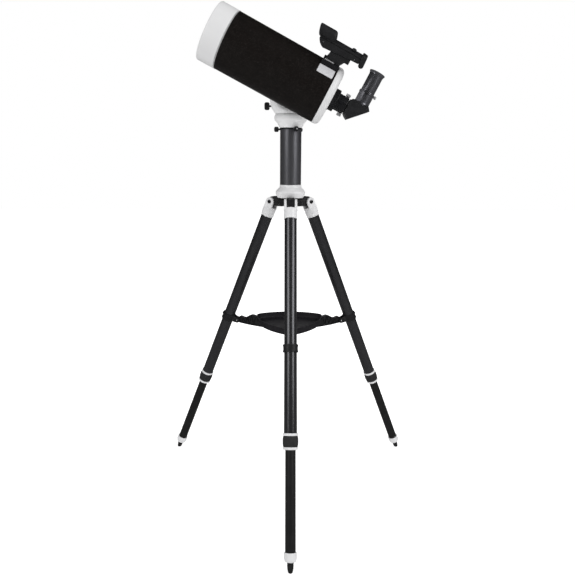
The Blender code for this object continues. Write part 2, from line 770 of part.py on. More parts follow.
def star_diagonal(frame):
    """Nosepiece, prism housing and eyepiece holder."""
    front = -0.1490
    outline = [
        (front, 0.0165),
        (front - 0.0060, 0.0225),
        (-0.1960, 0.0225),
        (-0.2035, 0.0140),
        (-0.1625, -0.0270),
        (front - 0.0060, -0.0225),
        (front, -0.0175),
    ]
    housing = finish(plate(outline, -0.0185, 0.0185, "XZ"), "star_diagonal", "black_plastic", frame)
    add(housing, rod(NOSE_R, -0.1240, front - 0.004, "X", segments=24), "nose")
    neck = [
        (0.0150, 0.0187),
        (HOLDER_TOP - 0.0047, 0.0187),
        (HOLDER_TOP - 0.0047, 0.0196),
        (HOLDER_TOP, 0.0196),
    ]
    add(housing, turned(neck, 24, centre=(EYEPIECE_X, 0, 0)), "holder")
    bore = rod(NOSE_BORE, 0.0220, HOLDER_TOP + 0.01, "Z", (EYEPIECE_X, 0, 0), 24)
    cut(housing, bore, "eyepiece_bore")
    cut(housing, rod(0.0135, front - 0.002, -0.1200, "X", segments=20), "nose_bore")
    screw_place = (EYEPIECE_X, 0, HOLDER_TOP - 0.0026)
    cut(housing, rod(0.0017, -0.03, -0.01, "X", screw_place, 10), "screw_hole")
    screw = thumbscrew(NOSE_BORE + GAP, 0.0201, 0.0256, 0.0013, 0.0042, axis="X")
    finish(screw, "eyepiece_screw", "steel", frame, screw_place, (0, 0, math.pi))


def eyepiece(frame):
    shoulder = HOLDER_TOP + GAP
    profile = [
        (0.0245, NOSE_R),
        (shoulder, NOSE_R),
        (shoulder, 0.0175),
        (0.0960, 0.0175),
        (0.1015, 0.0199),
        (0.1031, 0.0199),
        (0.1031, 0.0120),
        (0.1005, 0.0095),
    ]
    bm = turned(profile, 24)
    finish(bm, "eyepiece", "black_anodised", frame, (EYEPIECE_X, 0, 0))


# ---------------------------------------------------------------- finder; z points out from the tube
def finder_bracket(frame):
    seat = CELL_R - GAP
    half = 0.0175
    under = []
    for step in range(7):
        across = half - 2 * half * step / 6
        under.append((across, math.sqrt(seat**2 - across**2)))
    shoe = [*under, (-half + 0.0030, 0.0815), (half - 0.0030, 0.0815)]
    base = finish(plate(shoe, -0.0890, -0.0470), "finder_bracket", "black_plastic", frame)
    stem = [
        (-0.0500, 0.0790),
        (-0.0545, 0.0920),
        (-0.0556, 0.1007),
        (-0.1053, 0.1048),
        (-0.1053, 0.0928),
        (-0.0951, 0.0928),
        (-0.0860, 0.0790),
    ]
    add(base, plate(stem, -0.0090, 0.0090, "XZ"), "stem")


def finder(frame):
    """Red-dot finder: a long body, the window hood on its front, a thick rear end."""
    outline = [
        (-0.0178, 0.1246),
        (-0.0189, 0.1150),
        (-0.0246, 0.1064),
        (-0.0344, 0.0995),
        (-0.1062, 0.1054),
        (-0.1256, 0.1064),
        (-0.1256, 0.1246),
    ]
    body = plate(outline, -FINDER_HALF, FINDER_HALF, "XZ")
    body = finish(body, "finder_body", "black_plastic", frame)
    hood = [(-0.0110, HOOD_R - 0.0020), (-0.0110, HOOD_R), (-0.0540, HOOD_R), (-0.0540, HOOD_R - 0.0020)]
    bm = turned(hood, 20, "X", hollow=True)
    for vert in bm.verts:
        vert.co.x += HOOD_SHEAR * vert.co.z
        vert.co.z += HOOD_W
    add(body, bm, "hood")
    paddle = [
        (-0.1240, 0.1291),
        (-0.1368, 0.1278),
        *arc((-0.1320, 0.1064), 0.0063, 0, -180, 6)[::-1],
    ]
    add(body, plate(paddle, -0.0118, 0.0118, "XZ"), "rear_end")
    dial_x = -0.1020
    cut(body, rod(0.0023, 0.1199, 0.1314, "Z", (dial_x, 0, 0)), "dial_hole")
    dial = thumbscrew(0.1203, 0.1249, 0.1302, 0.0019, 0.0055)
    finish(dial, "finder_dial", "black_plastic", frame, (dial_x, 0, 0))


# ---------------------------------------------------------------- assembly
def tripod(stand):
    for side in LEG_BEARINGS:
        leg(side, stand)
        spreader_arm(side, stand)
    accessory_tray(stand)
    tripod_hub(stand)
    hub_spider(stand)
    pier(stand)


def head(stand):
    azimuth_base(stand)
    frame = empty("azimuth_frame", stand)
    mount_body(frame)
    head_knobs(frame)


def telescope(stand):
    frame = tube_frame(stand)
    pieces = (
        saddle,
        dovetail_bar,
        optical_tube,
        front_ring,
        corrector_lens,
        primary_mirror,
        baffle_tube,
        rear_cell,
        focus_knob,
        visual_back,
        star_diagonal,
        eyepiece,
    )
    for piece in pieces:
        piece(frame)
    finder_frame = empty("finder_frame", frame, (0, 0, 0), (-FINDER_ROLL, 0, 0))
    finder_bracket(finder_frame)
    finder(finder_frame)


clear_scene()
stand_frame = empty("stand_frame", None, (0, AXIS_Y, 0))
tripod(stand_frame)
head(stand_frame)
telescope(stand_frame)
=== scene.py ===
"""Looks of a small catadioptric telescope on an alt-azimuth head, a short pier and a folding tripod.

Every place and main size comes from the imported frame: joint axes give the local frames, and the
CAD nodes' own corners give lengths and radii.  Lengths are in metres, but the pairs given to
near() are millimetres from one point of a profile.
"""

import json
import math

import bmesh
import bpy
from mathutils import Matrix, Vector

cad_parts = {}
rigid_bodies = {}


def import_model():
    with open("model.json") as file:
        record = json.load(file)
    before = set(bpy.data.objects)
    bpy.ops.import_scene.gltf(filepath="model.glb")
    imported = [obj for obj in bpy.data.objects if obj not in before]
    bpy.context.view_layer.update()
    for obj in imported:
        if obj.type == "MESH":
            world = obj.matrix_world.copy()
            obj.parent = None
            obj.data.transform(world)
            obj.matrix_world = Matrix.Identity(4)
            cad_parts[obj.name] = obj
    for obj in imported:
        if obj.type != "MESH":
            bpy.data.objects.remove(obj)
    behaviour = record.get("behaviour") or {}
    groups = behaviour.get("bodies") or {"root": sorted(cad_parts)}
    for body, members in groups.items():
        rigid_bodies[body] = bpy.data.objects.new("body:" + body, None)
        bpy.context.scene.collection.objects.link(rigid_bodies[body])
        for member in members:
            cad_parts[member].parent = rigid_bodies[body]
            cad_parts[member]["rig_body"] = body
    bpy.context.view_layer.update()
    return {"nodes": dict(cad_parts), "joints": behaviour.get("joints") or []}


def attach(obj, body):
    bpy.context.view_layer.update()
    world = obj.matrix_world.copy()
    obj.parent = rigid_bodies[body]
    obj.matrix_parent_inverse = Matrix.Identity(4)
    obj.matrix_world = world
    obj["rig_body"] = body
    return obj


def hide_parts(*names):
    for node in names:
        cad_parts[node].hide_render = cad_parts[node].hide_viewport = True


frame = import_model()
NODES = frame["nodes"]
JOINTS = {joint["name"]: joint for joint in frame["joints"]}
SIDES = ("front", "right", "left")
UP = Vector((0, 0, 1))
TURN_X = Matrix.Rotation(math.radians(90), 4, "Y")     # a lathe's axis onto a frame's x
TURN_Y = Matrix.Rotation(math.radians(-90), 4, "X")    # a lathe's axis onto a frame's y
BARREL_R = 0.01585                                     # nosepiece and eyepiece barrel


# ---------------------------------------------------------------- frames
def frame_at(origin, x, z):
    x, z = Vector(x).normalized(), Vector(z).normalized()
    turn = Matrix((x, z.cross(x), z)).transposed().to_4x4()
    return Matrix.Translation(Vector(origin)) @ turn


def joint_place(name):
    return Vector(JOINTS[name]["pos_m"])


def joint_axis(name):
    return Vector(JOINTS[name]["axis"]).normalized()


def shift(x=0.0, y=0.0, z=0.0):
    return Matrix.Translation((x, y, z))


def roll(degrees, axis="Z"):
    return Matrix.Rotation(math.radians(degrees), 4, axis)


SKY = joint_axis("mirror_focus")
TUBE = frame_at(joint_place("diagonal_turn"), SKY, joint_axis("eyepiece_slide"))
FINDER = frame_at(joint_place("diagonal_turn"), SKY, joint_axis("turn_finder_dial"))
WORLD = shift(y=joint_place("azimuth").y)              # a frame on the azimuth axis at the floor
LEGS = {
    side: frame_at(
        joint_place(f"fold_{side}"),
        joint_axis(f"fold_{side}"),
        -joint_axis(f"leg_extend_{side}"),
    )
    for side in SIDES
}
ARMS = {
    side: frame_at(joint_place(f"spreader_pin_{side}"), joint_axis(f"spreader_pin_{side}"), UP)
    for side in SIDES
}


def span(node, place):
    """Lowest and highest corner of a CAD node in a local frame."""
    back = place.inverted()
    points = [back @ vert.co for vert in NODES[node].data.vertices]
    low = Vector([min(p[i] for p in points) for i in range(3)])
    high = Vector([max(p[i] for p in points) for i in range(3)])
    return low, high


def traced(node, place):
    """The (along, radius) profile of a turned CAD node about the local z axis, and if it is a loop."""
    back = place.inverted()
    mesh = NODES[node].data
    keys = []
    for vert in mesh.vertices:
        point = back @ vert.co
        keys.append((round(point.z, 5), round(math.hypot(point.x, point.y), 5)))
    linked = {key: set() for key in keys}
    for edge in mesh.edges:
        one, two = keys[edge.vertices[0]], keys[edge.vertices[1]]
        if one != two:
            linked[one].add(two)
            linked[two].add(one)
    ends = sorted(key for key in linked if len(linked[key]) == 1)
    loop = not ends
    current = ends[0] if ends else min(linked)
    path = [current]
    while True:
        onward = sorted(key for key in linked[current] if key not in path)
        if not onward:
            return path, loop
        current = onward[0]
        path.append(current)


# ---------------------------------------------------------------- mesh tools
def near(along, out, *offsets):
    """Profile points from offsets in millimetres to one point of a profile."""
    return [(along + a / 1000, out + b / 1000) for a, b in offsets]


def rounded(points, loop, size, steps=3):
    """Replace each real corner of a profile with a small curve."""
    count = len(points)
    made = []
    for i, point in enumerate(points):
        if not loop and i in (0, count - 1):
            made.append(point)
            continue
        before, after = Vector(points[i - 1]), Vector(points[(i + 1) % count])
        corner = Vector(point)
        one, two = before - corner, after - corner
        bend = math.pi - one.angle(two, math.pi)
        reach = min(size, one.length * 0.42, two.length * 0.42)
        if bend < math.radians(12):
            made.append(point)
            continue
        start, end = corner + one.normalized() * reach, corner + two.normalized() * reach
        for step in range(steps + 1):
            t = step / steps
            place = start * (1 - t) ** 2 + corner * (2 * t * (1 - t)) + end * t**2
            made.append((place.x, place.y))
    return made


def finish_mesh(bm, name, place, bevel=0.0):
    bmesh.ops.recalc_face_normals(bm, faces=bm.faces)
    bmesh.ops.transform(bm, matrix=place, verts=bm.verts)
    mesh = bpy.data.meshes.new(name)
    bm.to_mesh(mesh)
    bm.free()
    mesh.shade_smooth()
    obj = bpy.data.objects.new(name, mesh)
    bpy.context.scene.collection.objects.link(obj)
    if bevel:
        edge = obj.modifiers.new("edges", "BEVEL")
        edge.width = bevel
        edge.segments = 2
        edge.limit_method = "ANGLE"
        edge.angle_limit = math.radians(28)
    mesh.set_sharp_from_angle(angle=math.radians(40))
    smooth = obj.modifiers.new("normals", "WEIGHTED_NORMAL")
    smooth.keep_sharp = True
    return obj


def turn(name, profile, place=WORLD, sides=96, loop=False, shape=None, second=None, slant=None):
    """Revolve (along, radius) points about local z; shape(angle, along, radius) may change a radius."""
    bm = bmesh.new()
    rings = []
    for along, radius in profile:
        ring = []
        for step in range(sides):
            angle = 2 * math.pi * step / sides
            reach = shape(angle, along, radius) if shape else radius
            point = Vector((reach * math.cos(angle), reach * math.sin(angle), along))
            ring.append(bm.verts.new(slant @ point if slant else point))
        rings.append(ring)
    pairs = list(zip(rings, rings[1:]))
    middles = list(zip(profile, profile[1:]))
    if loop:
        pairs.append((rings[-1], rings[0]))
        middles.append((profile[-1], profile[0]))
    else:
        bm.faces.new(rings[0])
        bm.faces.new(rings[-1])
    for (one, two), (start, end) in zip(pairs, middles):
        inked = bool(second and second((start[0] + end[0]) / 2, (start[1] + end[1]) / 2))
        for step in range(sides):
            after = (step + 1) % sides
            face = bm.faces.new((one[step], one[after], two[after], two[step]))
            face.material_index = int(inked)
    return finish_mesh(bm, name, place)


def slab(name, outline, low, high, place=WORLD, plane="YZ", bevel=0.0006, panel=None):
    """Extrude an outline across its plane; panel = (border, depth) sinks both flat sides."""
    first, other, across = {"YZ": (1, 2, 0), "XZ": (0, 2, 1), "XY": (0, 1, 2)}[plane]
    bm = bmesh.new()
    ends, flats = [], []
    for level in (low, high):
        ring = []
        for one, two in outline:
            point = [0.0, 0.0, 0.0]
            point[first], point[other], point[across] = one, two, level
            ring.append(bm.verts.new(point))
        ends.append(ring)
        flats.append(bm.faces.new(ring))
    for step in range(len(outline)):
        after = (step + 1) % len(outline)
        bm.faces.new((ends[0][step], ends[0][after], ends[1][after], ends[1][step]))
    if panel:
        bmesh.ops.recalc_face_normals(bm, faces=bm.faces)
        for flat in flats:
            bmesh.ops.inset_region(bm, faces=[flat], thickness=panel[0], use_even_offset=True)
            bmesh.ops.inset_region(bm, faces=[flat], thickness=panel[1] * 0.5, depth=-panel[1])
    return finish_mesh(bm, name, place, bevel)


def skin(loops):
    """A closed mesh through equal-length loops of 3-D points, with a face at each end."""
    bm = bmesh.new()
    rings = [[bm.verts.new(point) for point in loop] for loop in loops]
    bm.faces.new(rings[0])
    bm.faces.new(rings[-1])
    for one, two in zip(rings, rings[1:]):
        for step in range(len(one)):
            after = (step + 1) % len(one)
            bm.faces.new((one[step], one[after], two[after], two[step]))
    return bm


def loft(name, loops, place=WORLD):
    return finish_mesh(skin(loops), name, place)


def slice_off(bm, point, normal):
    """Cut away what lies beyond a plane and close the cut."""
    everything = bm.verts[:] + bm.edges[:] + bm.faces[:]
    cut = bmesh.ops.bisect_plane(bm, geom=everything, plane_co=point, plane_no=normal, clear_outer=True)
    rim = [item for item in cut["geom_cut"] if isinstance(item, bmesh.types.BMEdge)]
    bmesh.ops.contextual_create(bm, geom=rim)


def arc(centre, radius, start, end, steps):
    points = []
    for step in range(steps + 1):
        angle = math.radians(start + (end - start) * step / steps)
        points.append((centre[0] + radius * math.cos(angle), centre[1] + radius * math.sin(angle)))
    return points


def flutes(count, depth, inner=0.0, sharp=1.0):
    """A radius rule with count shallow scoops; radii below inner stay round."""

    def rule(angle, along, radius):
        if radius < inner:
            return radius
        wave = 0.5 + 0.5 * math.cos(count * angle)
        return radius - depth * wave**sharp

    return rule


def socket(across):
    """A radius rule that makes radii below the socket's size six-sided."""

    def rule(angle, along, radius):
        if radius > across:
            return radius
        return radius / math.cos((angle + math.pi / 6) % (math.pi / 3) - math.pi / 6)

    return rule


# ---------------------------------------------------------------- materials
class Shader:
    """A Principled material and short ways to add the nodes that vary it."""

    def __init__(self, name, rgb, rough, metal=0.0, specular=0.5):
        self.material = bpy.data.materials.new(name)
        self.material.use_nodes = True
        self.tree = self.material.node_tree
        self.main = self.tree.nodes["Principled BSDF"]
        self.rgb = rgb
        self.rough = rough
        self.main.inputs["Base Color"].default_value = (*rgb, 1)
        self.main.inputs["Roughness"].default_value = rough
        self.main.inputs["Metallic"].default_value = metal
        self.main.inputs["Specular IOR Level"].default_value = specular
        self.place = self.tree.nodes.new("ShaderNodeTexCoord").outputs["Object"]

    def node(self, kind, **values):
        made = self.tree.nodes.new(kind)
        for key, value in values.items():
            if hasattr(made, key):
                setattr(made, key, value)
            else:
                made.inputs[key.replace("_", " ").title()].default_value = value
        return made

    def link(self, one, two):
        self.tree.links.new(one, two)

    def noise(self, scale, detail=3.0, stretch=None):
        source = self.place
        if stretch:
            mapping = self.node("ShaderNodeMapping")
            mapping.inputs["Scale"].default_value = stretch
            self.link(source, mapping.inputs["Vector"])
            source = mapping.outputs["Vector"]
        made = self.node("ShaderNodeTexNoise", Scale=scale, Detail=detail)
        self.link(source, made.inputs["Vector"])
        return made.outputs["Fac"]

    def spread(self, fac, low, high, start=0.3, stop=0.7, **values):
        """Map start..stop, by default the range that a noise really has, onto low..high."""
        made = self.node("ShaderNodeMapRange", **values)
        made.inputs["From Min"].default_value = start
        made.inputs["From Max"].default_value = stop
        made.inputs["To Min"].default_value = low
        made.inputs["To Max"].default_value = high
        self.link(fac, made.inputs["Value"])
        return made.outputs["Result"]

    def blend(self, fac, one, two):
        """Mix a colour socket with a fixed colour."""
        mixed = self.node("ShaderNodeMix", data_type="RGBA")
        self.link(fac, mixed.inputs["Factor"])
        self.link(one, mixed.inputs[6])
        mixed.inputs[7].default_value = (*two, 1)
        self.link(mixed.outputs[2], self.main.inputs["Base Color"])

    def mottle(self, scale, amount, stretch=None):
        """Vary the base colour about its mean by a noise."""
        mixed = self.node("ShaderNodeMix", data_type="RGBA")
        dark = [c * (1 - amount) for c in self.rgb]
        light = [min(1.0, c * (1 + amount)) for c in self.rgb]
        mixed.inputs[6].default_value = (*dark, 1)
        mixed.inputs[7].default_value = (*light, 1)
        self.link(self.spread(self.noise(scale, 4.0, stretch), 0, 1), mixed.inputs["Factor"])
        self.colour = mixed.outputs[2]
        self.link(self.colour, self.main.inputs["Base Color"])
        return self

    def gloss(self, scale, amount, stretch=None):
        """Vary the roughness about its mean by a noise."""
        varied = self.spread(self.noise(scale, 2.0, stretch), self.rough - amount, self.rough + amount)
        self.link(varied, self.main.inputs["Roughness"])
        return self

    def bump(self, scale, depth, detail=2.0, stretch=None):
        made = self.node("ShaderNodeBump", Strength=0.6, Distance=depth)
        self.link(self.noise(scale, detail, stretch), made.inputs["Height"])
        self.link(made.outputs["Normal"], self.main.inputs["Normal"])
        return self


def tube_paint():
    """Near-black gloss paint with sparse fine metal flakes; the flakes are painted lighter than the
    paint, as painted glints.
    """
    paint = Shader("tube_paint", (0.0070, 0.0056, 0.0050), 0.34, 0.0, 0.18)
    paint.mottle(55, 0.12).gloss(140, 0.05).bump(900, 0.00004)
    flakes = paint.node("ShaderNodeTexVoronoi", Scale=1500)
    paint.link(paint.place, flakes.inputs["Vector"])
    parts = paint.node("ShaderNodeSeparateColor")
    paint.link(flakes.outputs["Color"], parts.inputs["Color"])
    # The brightest few cells are the metal flakes, painted lighter than the paint: a painted glint for
    # their sparkle.
    flake_glints = paint.spread(parts.outputs["Red"], 0.0, 0.55, 0.90, 1.0)
    paint.blend(flake_glints, paint.colour, (0.085, 0.074, 0.070))
    return paint.material


def clear_glass(name, tint, sheen):
    """Thin coated glass: mostly see-through, with a coloured reflection."""
    glass = Shader(name, tint, 0.03)
    glass.tree.nodes.remove(glass.main)
    through = glass.node("ShaderNodeBsdfTransparent")
    through.inputs["Color"].default_value = (*tint, 1)
    mirror = glass.node("ShaderNodeBsdfGlossy", Roughness=0.03)
    mirror.inputs["Color"].default_value = (*sheen, 1)
    edge = glass.node("ShaderNodeFresnel")
    edge.inputs["IOR"].default_value = 1.52
    share = glass.node("ShaderNodeMath", operation="MULTIPLY")
    glass.link(edge.outputs["Fac"], share.inputs[0])
    glass.link(glass.spread(glass.noise(30, 2.0), 0.9, 1.1), share.inputs[1])
    mixed = glass.node("ShaderNodeMixShader")
    glass.link(share.outputs["Value"], mixed.inputs["Fac"])
    glass.link(through.outputs["BSDF"], mixed.inputs[1])
    glass.link(mirror.outputs["BSDF"], mixed.inputs[2])
    glass.link(mixed.outputs["Shader"], glass.tree.nodes["Material Output"].inputs["Surface"])
    return glass.material


FINISHES = {
    # look: material, colour, roughness, metallic, specular, then (scale, amount) of the colour's
    # mottle and of the roughness's, and (scale, depth) of the bump; a last triple stretches a noise
    "white": ("white_powder_coat", (0.71, 0.71, 0.715), 0.42, 0.0, 0.5,
        (18, 0.02), (260, 0.06), (1300, 0.00007)),
    "mount_white": ("white_mount_coat", (0.85, 0.85, 0.855), 0.42, 0.0, 0.5,
        (18, 0.02), (260, 0.06), (1300, 0.00007)),
    "white_plastic": ("white_moulded_plastic", (0.79, 0.79, 0.80), 0.36, 0.0, 0.5,
        (12, 0.02), (90, 0.06), (2400, 0.00003)),
    "pier": ("pier_anodised", (0.150, 0.150, 0.163), 0.37, 0.75, 0.5,
        (40, 0.10, (1, 1, 0.12)), (300, 0.05, (1, 1, 0.05)), (1800, 0.00003, 2.0, (1, 1, 0.1))),
    "leg": ("leg_tube_anodised", (0.083, 0.083, 0.088), 0.25, 0.78, 0.5,
        (35, 0.05, (1, 1, 0.2)), (120, 0.02, (1, 1, 0.1)), (1500, 0.000003)),
    "lower_leg": ("lower_tube_matt", (0.011, 0.0108, 0.0110), 0.44, 0.0, 0.42,
        (60, 0.2), (350, 0.06), (2000, 0.00003)),
    "plastic": ("black_moulded_plastic", (0.013, 0.013, 0.0145), 0.48, 0.0, 0.38,
        (80, 0.2), (200, 0.07), (1600, 0.00006)),
    "tray": ("tray_plastic", (0.015, 0.014, 0.017), 0.58, 0.0, 0.22,
        (60, 0.2), (160, 0.08), (1200, 0.00008)),
    "anodised": ("black_anodised_aluminium", (0.014, 0.014, 0.016), 0.28, 0.3, 0.5,
        (150, 0.2), (400, 0.05), (2500, 0.00002)),
    "gloss": ("eyepiece_black_gloss", (0.170, 0.170, 0.186), 0.25, 0.80, 0.5,
        (60, 0.05), (150, 0.02), (1500, 0.000002)),
    "rubber": ("black_rubber", (0.014, 0.014, 0.014), 0.78, 0.0, 0.35,
        (90, 0.25), (220, 0.08), (900, 0.00012)),
    "grip": ("grip_rubber", (0.022, 0.022, 0.023), 0.62, 0.0, 0.45,
        (200, 0.2), (300, 0.08), (1500, 0.00015)),
    "steel": ("polished_steel", (0.62, 0.62, 0.63), 0.22, 1.0, 0.5,
        (200, 0.08), (700, 0.07), (3000, 0.00002)),
    "bright": ("brushed_steel", (0.66, 0.66, 0.67), 0.42, 0.55, 0.5,
        (200, 0.06), (500, 0.05), (2500, 0.00002)),
    "dark_steel": ("blackened_steel", (0.030, 0.030, 0.032), 0.35, 0.8, 0.5,
        (200, 0.15), (600, 0.07), (2500, 0.00003)),
    # flocked black for the tube's inside, and also painted shade on the cores in the seams of the head
    # and the finder
    "inside": ("flocked_black_and_seam_shade", (0.004, 0.004, 0.004), 0.85, 0.0, 0.2,
        (300, 0.3), (300, 0.05), (1500, 0.0002)),
    "mirror": ("silvered_mirror", (0.86, 0.88, 0.90), 0.04, 1.0, 0.5,
        (30, 0.02), (60, 0.01), (20, 0.00001)),
    "label": ("blank_label", (0.60, 0.60, 0.62), 0.40, 0.0, 0.5,
        (420, 0.10), (300, 0.05), (900, 0.00003)),
    "prism": ("eye_lens", (0.010, 0.020, 0.045), 0.05, 0.0, 0.8,
        (40, 0.3), (60, 0.01), (20, 0.00001)),
}


def make_materials():
    made = {
        "tube": tube_paint(),
        "lens": clear_glass("coated_glass", (0.80, 0.90, 0.92), (0.45, 0.85, 0.75)),
        "window": clear_glass("finder_window", (0.85, 0.55, 0.50), (0.95, 0.35, 0.30)),
    }
    for look, (name, rgb, rough, metal, specular, mottle, gloss, bump) in FINISHES.items():
        shader = Shader(name, rgb, rough, metal, specular)
        made[look] = shader.mottle(*mottle).gloss(*gloss).bump(*bump).material
        if look == "prism":
            shader.main.inputs["Coat Weight"].default_value = 1.0
            shader.main.inputs["Coat Roughness"].default_value = 0.02
    return made


MATERIALS = make_materials()


def dress(obj, look, body=None, stands_for=None, second=None):
    """Give a piece its materials, and make it ride with a body or stand for a CAD node."""
    obj.data.materials.append(MATERIALS[look])
    if second:
        obj.data.materials.append(MATERIALS[second])
    if stands_for:
        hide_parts(stands_for)
        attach(obj, NODES[stands_for]["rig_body"])
    else:
        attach(obj, body)
    return obj


# ---------------------------------------------------------------- common pieces
def knurled(name, place, tip, neck, end, shaft, head, teeth, sides=168, curve=0.42):
    """A thumbscrew along local z: plain shaft, then a knurled head with a small dished end."""
    soft = min(head * curve, (end - neck) * 0.38)
    profile = [
        (tip, shaft),
        (neck, shaft),
        (neck, head * 0.60),
        (neck + soft * 0.20, head * 0.82),
        (neck + soft * 0.55, head * 0.95),
        (neck + soft, head),
        (end - soft, head),
        (end - soft * 0.55, head * 0.95),
        (end - soft * 0.20, head * 0.82),
        (end, head * 0.62),
        (end, head * 0.42),
        (end - head * 0.08, head * 0.34),
    ]
    rule = flutes(teeth, head * 0.07, head * 0.93)
    return turn(name, profile, place, sides, shape=rule)


def cap_screw(name, place, head, height, body, look="dark_steel"):
    """A socket-head screw whose head stands on local z = 0."""
    profile = [
        (-0.0004, head),
        (height - head * 0.15, head),
        (height, head * 0.85),
        (height, head * 0.50),
        (height * 0.45, head * 0.49),
    ]
    made = turn(name, profile, place, 36, shape=socket(head * 0.52))
    return dress(made, look, body)


def axle(joint, outward=1.0):
    """A frame on a hinge whose local z is the hinge's axis, or its opposite."""
    z = joint_axis(joint) * outward
    x = UP.cross(z) if abs(z.z) < 0.9 else Vector((1, 0, 0))
    return frame_at(joint_place(joint), x, z)


def reach(node, lathe):
    """(lowest along, highest along, largest radius) of a CAD node about a lathe's axis."""
    back = lathe.inverted()
    points = [back @ vert.co for vert in NODES[node].data.vertices]
    heights = [point.z for point in points]
    return min(heights), max(heights), max(math.hypot(point.x, point.y) for point in points)


def bore_of(node, lathe):
    """The smallest radius of a CAD node's profile."""
    return min(radius for _, radius in traced(node, lathe)[0])


def relathe(name, node, lathe, look, sides=96, soften=0.0006, lined=0.0):
    """Turn a round CAD node again, with softened corners, and black within the radius lined."""
    path, loop = traced(node, lathe)
    profile = rounded(path, loop, soften)
    inked = (lambda along, radius: radius < lined) if lined else None
    made = turn(name, profile, lathe, sides, loop, second=inked)
    return dress(made, look, stands_for=node, second="inside" if lined else None)


def screw_from(node, joint, look, teeth, curve=0.42):
    """A knurled thumbscrew with the CAD screw's own tip, neck, head and end."""
    lathe = axle(joint)
    path, _ = traced(node, lathe)
    head = max(radius for _, radius in path)
    tip, neck, end, shaft = path[0][0], path[1][0], path[-1][0], path[0][1]
    made = knurled(f"{node}_knurled", lathe, tip, neck, end, shaft, head, teeth, curve=curve)
    return dress(made, look, stands_for=node)


# ---------------------------------------------------------------- optical tube
AXIS = TUBE @ TURN_X                          # local z runs towards the sky


def tube_and_ring():
    bore = bore_of("optical_tube", AXIS)
    relathe("tube_shell", "optical_tube", AXIS, "tube", 192, 0.0005, bore + 0.0004)
    lens_r = reach("corrector_lens", AXIS)[2]
    relathe("front_ring_cast", "front_ring", AXIS, "white", 192, 0.0011, lens_r + 0.0011)
    _, mouth, ring_r = reach("front_ring", AXIS)
    retainer = near(mouth, lens_r, (-9.5, -3.4), (-6, -3.4), (-5.6, 0.1), (-9.5, 0.1))
    notches = flutes(6, 0.0012, lens_r - 0.0020, 24)
    dress(turn("lens_retainer", retainer, AXIS, 96, True, notches), "anodised", "telescope")
    bead = arc((mouth - 0.0466, ring_r - 0.0001), 0.0005, 0, 360, 10)[:-1]
    dress(turn("ring_seam", bead, AXIS, 160, True), "white", "telescope")


def bowl(edge, depth, outer, inner, steps=14):
    """A shallow dish's profile from its rim inwards."""
    points = []
    for step in range(steps + 1):
        r = outer + (inner - outer) * step / steps
        points.append((edge - depth * (1 - (r / outer) ** 2), r))
    return points


def corrector():
    """The meniscus lens; returns where the middle of its inner face lies along the tube."""
    path, _ = traced("corrector_lens", AXIS)
    seat, clear = path[3]
    lens_r, front_edge = path[4][1], path[5][0]
    share = 1 - (path[0][1] / clear) ** 2     # of the depth, where the traced points end
    back_depth = (seat - path[0][0]) / share
    front_depth = (front_edge - path[-1][0]) / share
    profile = [
        *reversed(bowl(seat, back_depth, clear, 0.0004)),
        (seat, lens_r),
        *bowl(front_edge, front_depth, lens_r, 0.0004),
    ]
    dress(turn("lens_meniscus", profile, AXIS, 128), "lens", stands_for="corrector_lens")
    return seat - back_depth


def secondary(middle):
    """The silvered spot behind the lens and the cone round it."""
    spot_r, inner = 0.0175, middle - 0.0002
    shade = near(inner, spot_r, (-30, 3.5), (0, 1), (0, 0), (-30, 2.7))
    dress(turn("secondary_baffle", shade, AXIS, 72, True), "plastic", "telescope")
    spot = [(inner - 0.0008, 0.0003), *near(inner, spot_r, (-0.8, -0.3), (0, -0.3))]
    dress(turn("secondary_spot", spot, AXIS, 72), "mirror", "telescope")


def primary():
    """The primary mirror and the ribbed baffle tube through its hole."""
    back, edge, mirror_r = reach("primary_mirror", AXIS)
    hole, sag = bore_of("primary_mirror", AXIS), 0.0040
    profile = [
        (back, hole),
        *near(back, mirror_r, (0, -0.8), (0.8, 0)),
        *bowl(edge, sag, mirror_r, hole),
    ]
    dress(turn("mirror_blank", profile, AXIS, 128, True), "mirror", stands_for="primary_mirror")
    low, high, outer = reach("baffle_tube", AXIS)
    bore, ribs, pitch = outer - 0.0020, 9, 0.0075
    profile = [(low, bore), (low, outer)]
    for rib in range(ribs):
        start = high - 0.004 - (ribs - rib) * pitch
        profile += near(start, outer, (0, 0), (0.8, -0.7), (1.6, 0))
    profile += [(high, outer), (high, bore)]
    dress(turn("baffle_ribbed", profile, AXIS, 64, True), "inside", stands_for="baffle_tube")


def rear_cell():
    low, high, cell_r = reach("rear_cell", AXIS)
    neck_r = reach("visual_back", AXIS)[2] - 0.0040
    back = low + 0.0065                       # the rear face round the neck
    floor_z = back + 0.0120                   # the bottom of the hollow towards the tube
    profile = [
        (high, cell_r - 0.0034),
        *near(high, cell_r, (-11.5, -3.4), (-11.5, -0.4), (-11.9, 0)),
        *near(back, cell_r,
            (12, 0), (9.9, -0.3), (7.8, -1), (5.8, -2), (4.2, -3.3), (2.6, -5.2), (1.4, -7.5),
            (0.5, -10.2), (0, -13), (0, -18), (0.6, -18.4), (0.6, -19.2), (0, -19.6),
        ),
        *near(back, neck_r, (0, 7.8), (-0.8, 7.2), (-0.8, 6), (0, 5.4), (0, 0)),
        *near(low, neck_r, (0, 0), (0, -2.4)),
        (floor_z, neck_r - 0.0024),
        (floor_z, cell_r - 0.0078),
        (high, cell_r - 0.0070),
    ]

    def hollow(z, r):
        return z > floor_z - 0.0001 and r < cell_r - 0.006

    made = turn("rear_cell_cast", profile, AXIS, 192, True, second=hollow)
    dress(made, "white", stands_for="rear_cell", second="inside")
    collimation_screws(back)


